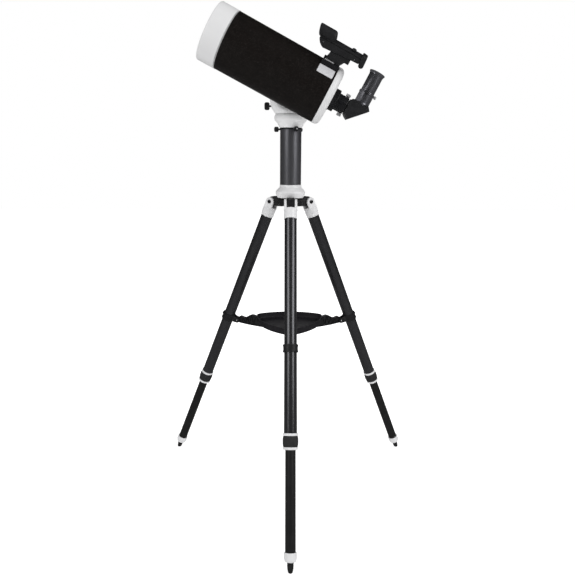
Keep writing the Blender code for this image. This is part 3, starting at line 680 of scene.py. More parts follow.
def collimation_screws(back):
    """Three pairs, a push and a pull screw each, on the cell's rear face."""
    circle_r, apart = 0.0505, 0.12
    for number in range(3):
        angle = math.radians(90 + 120 * number)
        for part, (offset, size) in enumerate(((-apart, 0.0026), (apart, 0.0019))):
            y, z = circle_r * math.cos(angle + offset), circle_r * math.sin(angle + offset)
            place = TUBE @ shift(back, y, z) @ roll(-90, "Y")
            cap_screw(f"collimation_screw_{number}_{part}", place, size, 0.0011, "telescope")


def focus_knob():
    lathe = axle("focus_knob_turn", -1.0)
    path, _ = traced("focus_knob", lathe)
    tip, shaft, neck, end = path[0][0], path[0][1], path[1][0], path[-1][0]
    head = max(radius for _, radius in path)
    profile = [
        (tip, shaft),
        (neck, shaft),
        (neck, head * 0.90),
        (neck + 0.0012, head * 0.985),
        (neck + 0.0020, head),
        (end - 0.0042, head),
        (end - 0.0022, head * 0.965),
        (end - 0.0008, head * 0.86),
        (end, head * 0.70),
        (end, head * 0.50),
        (end - 0.0006, head * 0.46),
        (end - 0.0006, head * 0.10),
    ]
    made = turn("focus_knob_ribbed", profile, lathe, 144, shape=flutes(24, 0.0009, head * 0.95))
    dress(made, "rubber", stands_for="focus_knob")


def visual_back():
    low, high, cad_r = reach("visual_back", AXIS)
    tube_r = cad_r - 0.0044
    ring_r = cad_r + 0.0018                   # the photo's ring is wider than the CAD's
    bore = bore_of("visual_back", AXIS)
    ring = [
        (high, tube_r + 0.0008),
        *near(high, ring_r, (0, -1.2), (-1.2, 0), (-12.6, 0), (-13.8, -1.2)),
        (high - 0.0138, tube_r - 0.0004),
    ]
    rule = flutes(36, 0.0008, ring_r - 0.0006, 2.0)
    made = turn("visual_back_ring", rounded(ring, True, 0.0004, 2), AXIS, 216, True, rule)
    dress(made, "anodised", "telescope")
    body = [
        *near(high, tube_r, (-11.2, 0), (-20, 0), (-20.5, -0.5), (-21.5, -0.5), (-22, 0)),
        *near(low, tube_r, (1.2, 0), (0, -1)),
        (low, bore),
        (high - 0.0060, bore),
        (high - 0.0060, tube_r - 0.0006),
    ]
    dress(turn("visual_back_tube", body, AXIS, 96, True), "anodised", stands_for="visual_back")
    for end in ("top", "bottom"):
        screw_from(f"visual_back_screw_{end}", f"turn_back_screw_{end}", "bright", 24, curve=0.22)


def eye_x():
    low, high = span("eyepiece", TUBE)
    return (low.x + high.x) / 2


def star_diagonal():
    low, high = span("star_diagonal", TUBE)
    ex = eye_x()
    front, top = ex + 0.0285, 0.0225
    outline = [
        *near(front, 0, (0, 16.5), (-3, 20.5), (-6, 22.5)),
        (ex - 0.0185, top),
        (low.x, 0.0140),
        (ex + 0.0150, low.z),
        *near(front, 0, (-6, -22.5), (0, -17.5)),
    ]
    half = high.y - 0.0002
    panel = (0.0024, 0.0007)
    made = slab("prism_housing", outline, -half, half, TUBE, "XZ", 0.0014, panel)
    dress(made, "plastic", stands_for="star_diagonal")
    nose = [
        *near(front, 0, (-1.5, 12), (-1.5, 19.6), (0.5, 19.6), (0.9, 19)),
        (front + 0.0009, BARREL_R),
        *near(high.x, BARREL_R, (-0.4, 0), (0, -0.6)),
        (high.x, 0.0135),
        *near(front, 0, (0.5, 13.5), (0.5, 12)),
    ]
    dress(turn("diagonal_nosepiece", nose, AXIS, 96, True), "anodised", "diagonal")
    eyepiece_holder(TUBE @ shift(x=ex), high.z)


def eyepiece_holder(place, rim):
    bore = BARREL_R + 0.00035
    holder = [
        (0.0200, bore),
        *near(0, 0, (20, 19.8), (25, 19.2), (26.2, 18.7)),
        *near(rim, 0, (-5.4, 18.7), (-5, 19.6), (-0.6, 19.6), (0, 19.1)),
        *near(rim, bore, (0, 0.3), (-0.3, 0)),
    ]
    dress(turn("eyepiece_holder", holder, place, 96, True), "gloss", "diagonal")
    screw_from("eyepiece_screw", "turn_eyepiece_screw", "bright", 20)
    side = place @ shift(z=rim - 0.0030, x=0.0030) @ TURN_Y
    tip, neck, end, shaft, head = bore + 0.0003, 0.0199, 0.0272, 0.0016, 0.0046
    lock = knurled("holder_lock_screw", side, tip, neck, end, shaft, head, 20, 120)
    dress(lock, "plastic", "diagonal")


def eyepiece():
    place = TUBE @ shift(x=eye_x())
    low, high, rim = reach("eyepiece", place)
    seat = span("star_diagonal", TUBE)[1].z + 0.0003
    body = 0.0175
    profile = [
        *near(low, BARREL_R,
            (0, -1.2), (0, -0.4), (0.4, 0), (11, 0), (11.6, -0.5), (13.6, -0.5), (14.2, 0),
        ),
        (seat, BARREL_R),
        *near(seat, body, (0, 0), (3, 0), (3.3, -0.4), (4.1, -0.4), (4.4, 0)),
        *near(high, body, (-8.5, 0), (-6.2, 0.4), (-4, 1.1)),
        *near(high, rim, (-2.4, -0.3), (-1.6, 0), (-0.4, 0), (0, -0.5), (0, -3), (-0.8, -4.2)),
        *near(high, 0, (-2.6, 11.2), (-2.6, 10), (-4, 9.8)),
    ]
    made = turn("eyepiece_body", profile, place, 128, second=lambda z, r: z < seat and r < body)
    dress(made, "gloss", stands_for="eyepiece", second="steel")
    lens = near(high, 0, (-4.1, 9.4), (-3.4, 9), (-2.8, 6), (-2.6, 0.3))
    dress(turn("eyepiece_lens", lens, place, 72), "prism", "eyepiece")


def dovetail():
    low, high = span("dovetail_bar", TUBE)
    wide, narrow = high.z, high.z - 0.0038
    outline = [(low.y, -wide), (high.y, -narrow), (high.y, narrow), (low.y, wide)]
    bar = slab("dovetail_machined", outline, low.x, high.x, TUBE, "YZ", 0.0006)
    dress(bar, "anodised", stands_for="dovetail_bar")
    pad = [
        (low.y + 0.0105, -0.0160),
        *near(high.y, 0, (1.2, -17), (1.2, 17)),
        (low.y + 0.0105, 0.0160),
    ]
    for number, x in enumerate((low.x + 0.012, high.x - 0.012)):
        made = slab(f"dovetail_pad_{number}", pad, x - 0.009, x + 0.009, TUBE, "YZ", 0.0004)
        dress(made, "plastic", "telescope")
        place = TUBE @ shift(x, low.y, 0) @ roll(90, "X")
        cap_screw(f"dovetail_bolt_{number}", place, 0.0042, 0.0020, "telescope")


def blank_plate():
    """The small blank plate that lies round the tube by the rear cell."""
    tube_low, _, tube_r = reach("optical_tube", AXIS)
    start = tube_low + 0.0047
    stop = start + 0.0402
    first, last, steps = 25.0, 45.0, 12
    sunk, proud = tube_r - 0.0001, tube_r + 0.0005
    loops = []
    for step in range(steps + 1):
        angle = math.radians(first + (last - first) * step / steps)
        cut = 0.0006 if step in (0, steps) else 0.0
        corners = ((start + cut, sunk), (stop - cut, sunk), (stop - cut, proud), (start + cut, proud))
        loops.append([(x, r * math.cos(angle), r * math.sin(angle)) for x, r in corners])
    dress(loft("blank_plate", loops, TUBE), "label", "telescope")


# ---------------------------------------------------------------- finder
DIAL = FINDER.inverted() @ joint_place("turn_finder_dial")    # local z points out of the tube
DECK = DIAL.z - 0.0003                                        # the top that the dial stands on
FINDER_HALF = 0.0105                                          # half the body's width


def by_dial(*offsets):
    """Points in millimetres ahead of the dial and above the deck."""
    return near(DIAL.x, DECK, *offsets)


def finder_block(name, outline, half, bevel, look="plastic", stands_for=None):
    made = slab(name, outline, -half, half, FINDER, "XZ", bevel)
    dress(made, look, "telescope", stands_for)


def finder():
    lower = by_dial(
        (83.9, -5.2), (83.4, -8.2), (82.6, -10.4), (80.4, -14.2), (77.4, -18.2), (73, -21.9),
        (67.6, -25.1), (-4.2, -19.2), (-23.6, -18.2), (-23.6, -5.2),
    )
    finder_block("finder_lower_shell", lower, FINDER_HALF, 0.0022, stands_for="finder_body")
    upper = by_dial((84, -4.5), (84.2, -0.6), (83.8, 0), (-23.6, 0), (-23.6, -4.5))
    finder_block("finder_upper_shell", upper, FINDER_HALF - 0.0004, 0.0010)
    # A black core between the lower and upper shells shows in the groove where they meet: painted shade
    # in the seam.
    core = by_dial((80, -6.2), (80, -3.5), (-22.6, -3.5), (-22.6, -6.2))
    finder_block("finder_seam_shade_core", core, FINDER_HALF - 0.0014, 0.0002, "inside")
    finder_hood()
    end = [
        *arc((DIAL.x - 0.0300, DECK - 0.0182), 0.0063, -180, 0, 10),
        *by_dial((-22.6, -4), (-22, 3.4), (-24.4, 5), (-34.8, 3.2)),
    ]
    finder_block("finder_rear_end", end, 0.0118, 0.0020)
    screw_from("finder_dial", "turn_finder_dial", "plastic", 18)
    pins = by_dial((71.6, -11.9), (-10, -13.2))
    for number, ((x, z), size) in enumerate(zip(pins, (0.0013, 0.0010))):
        place = FINDER @ shift(x, FINDER_HALF, z) @ TURN_Y
        cap_screw(f"finder_pin_{number}", place, size, 0.0005, "telescope", "steel")


def finder_hood():
    """The round hood, whose ends lean, and the tinted window inside it."""
    hood_r = 0.0135
    bore = hood_r - 0.0040
    centre = span("finder_body", FINDER)[1].z - hood_r
    lean = Matrix(((1, 0, 0.30, 0), (0, 1, 0, 0), (0, 0, 1, centre), (0, 0, 0, 1)))
    hood = near(0, hood_r,
        (-54, -4), (-54, -3.4), (-53.3, -1.8), (-52, -0.6), (-50, 0), (-14.8, 0), (-12.9, -0.6),
        (-11.7, -1.8), (-11, -3.4), (-11, -4),
    )
    made = turn("finder_hood", hood, FINDER, 96, True, slant=lean @ TURN_X)
    dress(made, "plastic", "telescope")
    pane = [(-0.0205, 0.0003), (-0.0205, bore), (-0.0190, bore), (-0.0182, 0.0003)]
    made = turn("finder_window", pane, FINDER, 72, slant=lean @ TURN_X)
    dress(made, "window", "telescope")


def finder_foot():
    low, high = span("finder_bracket", FINDER)
    tube_r = reach("optical_tube", AXIS)[2]
    half, front, back = high.y, high.x, high.x - 0.0420
    top = reach("rear_cell", AXIS)[2] + 0.0085
    wide = math.degrees(math.asin(half / tube_r))
    shoe = [
        *arc((0, 0), tube_r + 0.0002, 90 - wide, 90 + wide, 10),
        (-half + 0.0030, top),
        *near(0, top, (-8, 0.4), (8, 0.4)),
        (half - 0.0030, top),
    ]
    made = slab("finder_shoe", shoe, back, front, FINDER, "YZ", 0.0009)
    dress(made, "anodised", stands_for="finder_bracket")
    stem = [
        *near(front, top, (-3, -2.3), (-5, 2), (-7.5, 10.7)),
        (front - 0.0086, high.z - 0.0041),
        *near(low.x, high.z, (0, 0), (0, -12), (10.2, -12)),
        *near(back, top, (-2.2, 5.2), (3, -2.3)),
    ]
    made = slab("finder_stem", stem, -0.0088, 0.0088, FINDER, "XZ", 0.0012, (0.0024, 0.0008))
    dress(made, "plastic", "telescope")
    rail = near(half, top, (-9, -0.4), (-5, -0.8), (-5.8, 1.6), (-8.6, 1.8))
    made = slab("finder_rail", rail, front - 0.0280, front - 0.0040, FINDER, "YZ", 0.0003)
    dress(made, "bright", "telescope")


# ---------------------------------------------------------------- saddle and head
HEAD_FRONT = -0.0275                          # the head's front face, from the azimuth axis


def saddle():
    lathe = TUBE @ TURN_Y
    low, _, disc_r = reach("saddle", lathe)
    face = span("dovetail_bar", TUBE)[0].y - 0.0003
    back = TUBE.translation.y - (WORLD.translation.y + HEAD_FRONT) + 0.0006
    shaft = 0.0119
    profile = [
        *near(low, shaft, (0, -1), (1, 0)),
        (back, shaft),
        *near(back, disc_r, (0, -2), (2, 0)),
        *near(face, disc_r, (-6, 0), (-5.2, -1), (-4.2, -1), (-3.4, 0), (-0.8, 0), (0, -0.8)),
    ]
    dress(turn("saddle_turntable", profile, lathe, 120), "plastic", stands_for="saddle")
    for sign, name in ((1, "upper"), (-1, "lower")):
        corners = ((-2, 22.2), (0, 22.2), (8.5, 19.4), (8.5, 33.5), (-2, 33.5))
        jaw = near(face, 0, *[(depth, sign * height) for depth, height in corners])
        dress(slab(f"saddle_jaw_{name}", jaw, -0.030, 0.030, TUBE, "YZ", 0.0010), "anodised", "saddle")
    screw_from("saddle_clamp_knob", "turn_saddle_clamp", "plastic", 8)
    cap = [
        *near(low, 0, (-0.4, 0.2), (-0.3, 5)),
        *near(low, shaft, (0.8, -1.6), (1.2, -1.6)),
    ]
    dress(turn("shaft_end_cap", cap, lathe, 60), "steel", "saddle")


def ring_section(half, front, back, corner, height, steps=8):
    """A level rectangle with round corners."""
    points = []
    for x, y, start in ((half, back, 0), (-half, back, 90), (-half, front, 180), (half, front, 270)):
        centre = (x - math.copysign(corner, x), y - math.copysign(corner, y))
        points += [(px, py, height) for px, py in arc(centre, corner, start, start + 90, steps)]
    return points


def between(a, b, c, d, t):
    """The Catmull-Rom value a share t of the way from b to c."""
    square, cube = 2 * a - 5 * b + 4 * c - d, 3 * b - a - 3 * c + d
    return 0.5 * (2 * b + (c - a) * t + square * t**2 + cube * t**3)


def smooth_between(rows, steps):
    """Catmull-Rom values through rows of numbers."""
    made = []
    for i in range(len(rows) - 1):
        p0, p1 = rows[max(i - 1, 0)], rows[i]
        p2, p3 = rows[i + 1], rows[min(i + 2, len(rows) - 1)]
        for step in range(steps):
            t = step / steps
            made.append([between(*four, t) for four in zip(p0, p1, p2, p3)])
    made.append(list(rows[-1]))
    return made


def head_loops(half, back, base, alt, crown):
    """Sections of the head from its foot to its round top."""
    rows = [
        # height, half width, front, back, corner
        (base, 0.0410, -0.0385, 0.0385, 0.0380),
        (base + 0.0080, 0.0465, -0.0375, 0.0410, 0.0340),
        (base + 0.0210, 0.0530, -0.0310, 0.0450, 0.0220),
        (base + 0.0380, half, HEAD_FRONT, back, 0.0120),
        (alt, half, HEAD_FRONT, back, 0.0100),
    ]
    rows = smooth_between(rows, 5)
    steps, roundness = 14, 0.93
    for step in range(1, steps + 1):
        lift = math.sin(math.pi / 2 * step / steps)
        wide = half * math.sqrt(max(1 - (lift * roundness) ** 2, 0.01))
        shrink = 0.004 * lift**4
        rows.append((alt + lift * crown, wide, HEAD_FRONT + shrink, back - shrink, 0.0100))
    return [ring_section(w, f, b, min(c, w * 0.95), z) for z, w, f, b, c in rows]


def half_body(name, loops, plane, side):
    """The part of a skin on one side of a plane y, closed where the two parts meet."""
    bm = skin(loops)
    bmesh.ops.recalc_face_normals(bm, faces=bm.faces)
    slice_off(bm, (0, plane, 0), (0, side, 0))
    return finish_mesh(bm, name, WORLD, 0.0007)


def head():
    relathe("azimuth_base_turned", "azimuth_base", WORLD, "mount_white", 144, 0.0014)
    low, high = span("mount_body", WORLD)
    half, back, base = high.x, high.y, low.z
    alt = joint_place("altitude").z
    loops = head_loops(half, back, base, alt, high.z - alt)
    seam, gap, core = 0.0080, 0.0004, 0.96
    near_half = half_body("head_shell_front", loops, seam - gap, 1)
    dress(near_half, "mount_white", stands_for="mount_body")
    far_half = half_body("head_shell_back", loops, seam + gap, -1)
    dress(far_half, "mount_white", "mount")

    # A black core just inside the two shells shows through the gap between them: painted shade along the
    # seam.
    def inwards(x, y, z):
        return x * core, y * core + 0.0003, alt + (z - alt) * core if z > alt else z + 0.002

    inner = [[inwards(*point) for point in loop] for loop in loops]
    dress(loft("head_seam_shade_core", inner), "inside", "mount")
    screws = ((0.040, base + 0.046), (-0.040, base + 0.046), (0.036, alt + 0.034), (-0.036, alt + 0.034))
    for number, (x, z) in enumerate(screws):
        place = WORLD @ shift(x, back, z) @ TURN_Y
        cap_screw(f"head_screw_{number}", place, 0.0030, 0.0006, "mount")
    power_panel(half, base)
    screw_from("azimuth_lock_knob", "turn_azimuth_lock", "plastic", 16)
    altitude_lock()


def power_panel(half, base):
    """A round socket and a rocker switch on the head's side."""
    jack = near(0, 0, (-1, 6), (0.9, 6), (1.2, 5.5), (1.2, 3.6), (-1, 3.4), (-1, 1))
    port = WORLD @ frame_at((half, 0.026, base + 0.052), UP, (1, 0, 0))
    dress(turn("power_port", jack, port, 48), "plastic", "mount")
    switch = WORLD @ frame_at((half, 0.026, base + 0.070), UP, (1, 0, 0))
    plate = near(0, 0, (-5.5, -3.8), (5.5, -3.8), (5.5, 3.8), (-5.5, 3.8))
    dress(slab("switch_plate", plate, -0.001, 0.0008, switch, "XY", 0.0008), "plastic", "mount")
    rocker = near(0, 0, (0.8, -2.2), (4.2, -2.2), (4.2, 2.2), (0.8, 2.2))
    dress(slab("switch_rocker", rocker, 0.0, 0.0020, switch, "XY", 0.0005), "plastic", "mount")


def altitude_lock():
    lathe = axle("turn_altitude_lock")
    low, high, knob_r = reach("altitude_lock_knob", lathe)
    bore = bore_of("altitude_lock_knob", lathe)
    profile = [
        (low, bore),
        *near(low, knob_r, (0, -2.5), (1.2, -0.6), (3, 0)),
        *near(high, knob_r, (-5, -0.8), (-2.2, -2.2), (-0.6, -5), (0, -8)),
        *near(high, bore, (0, 5), (-1, 4), (-1, 0)),
    ]
    lobes = flutes(7, 0.0030, knob_r - 0.0060, 1.6)
    made = turn("altitude_lock_lobed", profile, lathe, 168, True, lobes)
    dress(made, "plastic", stands_for="altitude_lock_knob")


# ---------------------------------------------------------------- pier and hub
def pier():
    low, high, lip = reach("pier_tube", WORLD)
    outer = lip - 0.00065                     # the rim stands this far proud of the wall
    bore = outer - 0.00265
    wall = [
        (low, bore),
        *near(low, outer, (0, -0.4), (0.4, 0)),
        (high - 0.0040, outer),
        (high - 0.0040, bore),
    ]
    dress(turn("pier_tube_drawn", wall, WORLD, 144, True), "pier", stands_for="pier_tube")
    rim = [
        (high - 0.0042, bore),
        *near(high, lip, (-4.2, -0.3), (-3.9, 0), (-0.3, 0), (0, -0.3)),
        (high, bore),
    ]
    dress(turn("pier_rim", rim, WORLD, 144, True), "plastic", "hub")
    for number in (1, 2, 3):
        screw_from(f"pier_screw_{number}", f"turn_pier_screw_{number}", "plastic", 18)
        lathe = axle(f"turn_pier_screw_{number}")
        _, end, _ = reach(f"pier_screw_{number}", lathe)
        pin = near(end, 0, (-3, 2), (-0.3, 2), (0.2, 1.5), (0.3, 0.3))
        dress(turn(f"pier_screw_core_{number}", pin, lathe, 36), "bright", f"pier_screw_{number}")


def hub():
    relathe("tripod_hub_turned", "tripod_hub", WORLD, "white_plastic", 144, 0.0012)
    hinge = WORLD.inverted() @ joint_place("fold_front")
    radius, height = math.hypot(hinge.x, hinge.y), hinge.z
    disc_r, thick = 0.0340, 0.0077
    bottom, top = height - thick, height + thick
    disc = rounded([(bottom, 0.0100), (bottom, disc_r), (top, disc_r), (top, 0.0100)], True, 0.0012)
    dress(turn("spider_disc", disc, WORLD, 120, True), "plastic", stands_for="hub_spider")
    lug_end, lug_half = 0.0120, 0.0102
    outline = [
        (0.0200, -lug_end), *arc((radius, 0), lug_end, -90, 70, 14),
        *near(0, 0, (54.5, 13.8), (50, 14.7), (43, 14.7), (39.5, 13.5)),
        *near(0, lug_end, (38.5, 0), (20, 0)),
    ]
    panel = (0.0022, 0.0008)
    for side in SIDES:
        lug = WORLD @ frame_at((0, 0, height), joint_axis(f"fold_{side}"), UP) @ roll(180)
        made = slab(f"spider_lug_{side}", outline, -lug_half, lug_half, lug, "YZ", 0.0011, panel)
        dress(made, "plastic", "hub")


# ---------------------------------------------------------------- legs
def leg(side):
    place = LEGS[side]
    hinge(side, place)
    relathe(f"upper_tube_{side}", f"leg_upper_tube_{side}", place, "leg", 96, 0.0004)
    relathe(f"lower_tube_{side}", f"leg_lower_tube_{side}", place, "lower_leg", 96, 0.0004)
    relathe(f"lock_sleeve_{side}", f"lock_body_{side}", place, "white_plastic", 96, 0.0009)
    lock_grip(side, place)
    foot(side, place)
    clamp(side, place)


def hinge(side, place):
    """The cap on a leg's top and its two ears, then the bolt through them."""
    ear = reach(f"leg_hinge_cap_{side}", place)[1]
    bore = reach(f"leg_upper_tube_{side}", place)[2] + 0.0003
    cap = [
        (-0.0140, 0.0003),
        *near(0, 0.0178,
            (-14, -3.4), (-14.4, -1.8), (-15.6, -0.4), (-17.2, 0), (-39.5, 0), (-40, -0.5),
            (-41.2, -0.5), (-41.7, 0), (-42.6, 0), (-43, -0.5),
        ),
        *near(0, bore, (-43, 0), (-22.2, 0)),
        (-0.0222, 0.0003),
    ]
    made = turn(f"hinge_cap_barrel_{side}", cap, place, 96)
    dress(made, "white_plastic", stands_for=f"leg_hinge_cap_{side}")
    outline = [(-ear, -0.0190), *arc((0, 0), ear, 180, 0, 18), (ear, -0.0190)]
    for sign, name in ((1, "a"), (-1, "b")):
        low, high = sorted((sign * 0.0107, sign * 0.0172))
        made = slab(f"hinge_cap_ear_{name}_{side}", outline, low, high, place, "YZ", 0.0013)
        dress(made, "white_plastic", f"leg_{side}")
    hinge_bolt(side, place @ TURN_X)


def hinge_bolt(side, lathe):
    low, high, head_r = reach(f"leg_hinge_bolt_{side}", lathe)
    bolt = [
        (low + 0.0012, 0.0004),
        (low + 0.0012, head_r * 0.50),
        (low, head_r * 0.52),
        (low, head_r * 0.80),
        *near(low, head_r, (0.6, 0), (2.6, 0)),
        (low + 0.0026, 0.0030),
        (high - 0.0026, 0.0030),
        *near(high, head_r, (-2.6, 0), (-0.6, 0)),
        (high, head_r * 0.80),
        (high, head_r * 0.52),
        (high - 0.0012, head_r * 0.50),
        (high - 0.0012, 0.0004),
    ]
    made = turn(f"hinge_bolt_{side}", bolt, lathe, 60, shape=socket(head_r * 0.53))
    dress(made, "dark_steel", stands_for=f"leg_hinge_bolt_{side}")


def lock_grip(side, place):
    """The ribbed barrel that locks a leg's slide."""
    low, high, grip_r = reach(f"lock_grip_{side}", place)
    bore = bore_of(f"lock_grip_{side}", place)
    swell, steps = 0.0019, 12
    grip = [(low, bore), (low, grip_r - swell)]
    for step in range(1, steps):
        t = step / steps
        grip.append((low + (high - low) * t, grip_r - swell * abs(2 * t - 1) ** 3.2))
    grip += [(high, grip_r - swell), (high, bore)]
    ribs = flutes(48, 0.0004, grip_r - 0.0024, 1.0)
    made = turn(f"lock_grip_ribbed_{side}", grip, place, 240, True, ribs)
    dress(made, "grip", stands_for=f"lock_grip_{side}")


def foot(side, place):
    low, high, collar_r = reach(f"foot_collar_{side}", place)
    lower_r = reach(f"leg_lower_tube_{side}", place)[2] + 0.0003
    profile = [
        (high, lower_r),
        *near(high, collar_r, (0, -1), (-0.6, -0.3), (-1.6, 0)),
        *near(low, collar_r, (7.5, 0), (6.2, -0.6), (3, -1.3), (0.8, -2.4), (0, -3.4)),
        *near(low, 0, (0, 5.8), (10, 5.8)),
        (low + 0.0119, lower_r),
    ]
    made = turn(f"foot_collar_moulded_{side}", profile, place, 96, True)
    dress(made, "white_plastic", stands_for=f"foot_collar_{side}")
    foot_tip(side, place, low)


def foot_tip(side, place, low):
    tip_r = reach(f"foot_tip_{side}", place)[2]
    length = place.translation.z / place.to_3x3()[2][2]
    tip = [
        *near(low, 0, (9.5, 5.5), (-0.3, 5.5)),
        *near(low, tip_r,
            (-0.3, -0.6), (-0.9, 0), (-4.5, -0.1), (-5, -0.6), (-5.8, -0.6), (-6.3, -0.2),
            (-10.5, -0.3), (-15, -0.7), (-19, -1.5),
        ),
        *near(-length, tip_r, (1.2, -2.4), (-0.6, -3.6), (-2, -5.6)),
    ]
    made = turn(f"foot_tip_moulded_{side}", tip, place, 72)
    bm = bmesh.new()
    bm.from_mesh(made.data)
    slice_off(bm, (0, 0, 0), (0, 0, -1))      # flat where it stands on the floor
    bm.to_mesh(made.data)
    bm.free()
    dress(made, "rubber", stands_for=f"foot_tip_{side}")


# ---------------------------------------------------------------- spreader and tray
def clamp(side, place):
    pin = place.inverted() @ joint_place(f"spreader_pin_{side}")
    bore = reach(f"leg_upper_tube_{side}", place)[2] + 0.0003
    ring_r = bore + 0.0030
    top, end = pin.z + 0.0040, pin.z - 0.0160
    profile = [
        (top, bore),
        *near(top, ring_r, (0, -0.9), (-0.7, -0.1), (-1.4, 0), (-4.8, 0), (-5.4, -0.8)),
        *near(end, ring_r, (5.4, -0.8), (4.8, 0), (1.4, 0), (0.7, -0.1), (0, -0.9)),
        (end, bore),
    ]
    made = turn(f"clamp_ring_{side}", profile, place, 120, True)
    dress(made, "plastic", stands_for=f"spreader_clamp_{side}")
    outline = [
        (0.0155, end + 0.0025),
        *arc((pin.y, pin.z), 0.0070, -80, 80, 14),
        (0.0155, top + 0.0015),
    ]
    inner, thick = 0.0056, 0.0034
    for sign, name in ((1, "a"), (-1, "b")):
        low, high = sorted((sign * inner, sign * (inner + thick)))
        made = slab(f"clamp_ear_{name}_{side}", outline, low, high, place, "YZ", 0.0007)
        dress(made, "plastic", f"leg_{side}")
    lathe = place @ shift(y=pin.y, z=pin.z) @ TURN_X
    half = inner + thick + 0.0015
    rivet = [
        *near(-half, 0, (0, 0.3), (0, 1.4), (0.6, 2.4), (1.5, 2.5)),
        *near(half, 0, (-1.5, 2.5), (-0.6, 2.4), (0, 1.4), (0, 0.3)),
    ]
    dress(turn(f"clamp_rivet_{side}", rivet, lathe, 48), "steel", f"leg_{side}")
    boss = place @ shift(z=(top + end) / 2) @ roll(90, "X")
    knob = near(ring_r, 0, (-2, 4.6), (1.8, 4.6), (2.6, 4), (2.6, 1.8), (1.6, 1.7))
    made = turn(f"clamp_boss_{side}", knob, boss, 48, shape=socket(0.0019))
    dress(made, "plastic", f"leg_{side}")


def rib_height(inwards):
    """The scalloped top edge of an arm, above its pin."""
    along = inwards - 0.0261
    return 0.0126 + 0.202 * along + 0.0032 * (1 - math.cos(2 * math.pi * along / 0.0436))


def arm(side):
    place = ARMS[side]
    low, high = span(f"spreader_arm_{side}", place)
    lift = span("accessory_tray", WORLD)[0].z - place.translation.z
    pin = WORLD.inverted() @ place.translation
    tray_tip = -span("accessory_tray", WORLD)[0].y
    start, end = 0.0090, math.hypot(pin.x, pin.y) - tray_tip - 0.0030
    eye_r, steps = 0.0042, 30
    edge = [start + (end - start) * step / steps for step in range(steps + 1)]
    outline = [
        *arc((0, 0), 0.0056, 250, 100, 12),
        *[(inwards, rib_height(inwards)) for inwards in edge],
        (end + 0.0040, lift - 0.0022),
        *arc((high.y - eye_r, low.z + eye_r), eye_r, 90, -90, 10),
        (end, -0.0085),
        (0.0340, -0.0079),
    ]
    half = 0.0050
    made = slab(f"arm_frame_{side}", outline, -half, half, place, "YZ", 0.0005, (0.0021, 0.0030))
    dress(made, "plastic", stands_for=f"spreader_arm_{side}")
    arm_lattice(side, place, 0.0110, end - 0.0150, half - 0.0006)


def arm_lattice(side, place, first, length, half, count=7):
    """The zigzag of ribs in an arm's two sunk sides."""
    floor_z = -0.0062
    for number in range(count):
        start = first + length * number / count
        stop = first + length * (number + 1) / count
        one, two = Vector((start, floor_z)), Vector((stop, rib_height(stop) - 0.0012))
        if number % 2:
            one, two = Vector((start, rib_height(start) - 0.0012)), Vector((stop, floor_z))
        across = (two - one).orthogonal().normalized() * 0.0008
        bar = [tuple(point) for point in (one - across, two - across, two + across, one + across)]
        made = slab(f"arm_rib_{number}_{side}", bar, -half, half, place, "YZ", 0.0002)
        dress(made, "plastic", f"spreader_{side}")


def tray_outline(inset, height, radius, side_r, tip_r=0.0220):
    """A triangle with rounded corners towards the legs and gently bowed sides."""
    tip = tip_r - inset
    corner = radius - tip_r
    side = side_r - tip_r
    half = corner * math.cos(math.radians(60))
    bow_centre = (side**2 - corner**2) / (2 * (side - half))
    bow_radius = side - bow_centre
    rise = math.degrees(math.asin(corner * math.sin(math.radians(60)) / bow_radius))
    points = []
    for bearing in (-90, 30, 150):
        angle = math.radians(bearing)
        tip_centre = (corner * math.cos(angle), corner * math.sin(angle))
        points += arc(tip_centre, tip, bearing - 60 + rise, bearing + 60 - rise, 14)
        middle = bearing + 60
        away = math.radians(middle)
        side_centre = (bow_centre * math.cos(away), bow_centre * math.sin(away))
        points += arc(side_centre, bow_radius + tip, middle - rise, middle + rise, 28)[1:-1]
    return [(x, y, height) for x, y in points]


def tray():
    low, high = span("accessory_tray", WORLD)
    floor_z = low.z + 0.0030
    rows = (
        # inset, height: under the dish, over its edge and down inside it
        (0.0075, low.z),
        (0.0045, low.z + 0.0003),
        (0.0026, low.z + 0.0014),
        (0.0016, low.z + 0.0034),
        (0.0006, high.z - 0.0026),
        (0.0000, high.z - 0.0018),
        (0.0000, high.z - 0.0006),
        (0.0006, high.z),
        (0.0020, high.z),
        (0.0026, high.z - 0.0006),
        (0.0034, low.z + 0.0078),
        (0.0048, low.z + 0.0052),
        (0.0072, floor_z + 0.0010),
        (0.0105, floor_z),
    )
    loops = [tray_outline(inset, height, -low.y, high.y) for inset, height in rows]
    dress(loft("tray_dish", loops), "tray", stands_for="accessory_tray")
    boss = near(floor_z, 0, (-0.5, 15), (1.2, 14.6), (1.6, 13), (2.2, 12))
    dress(turn("tray_boss", boss, WORLD, 72), "tray", "tray")
    knob = near(floor_z, 0, (2.4, 10), (3.2, 11), (8.5, 10.8), (9.8, 9.6), (10.2, 7), (10, 2))
    lobes = flutes(9, 0.0014, 0.0095, 1.4)
    dress(turn("tray_knob", knob, WORLD, 126, shape=lobes), "plastic", "tray")
    for side in SIDES:
        tray_ears(side, low.z)


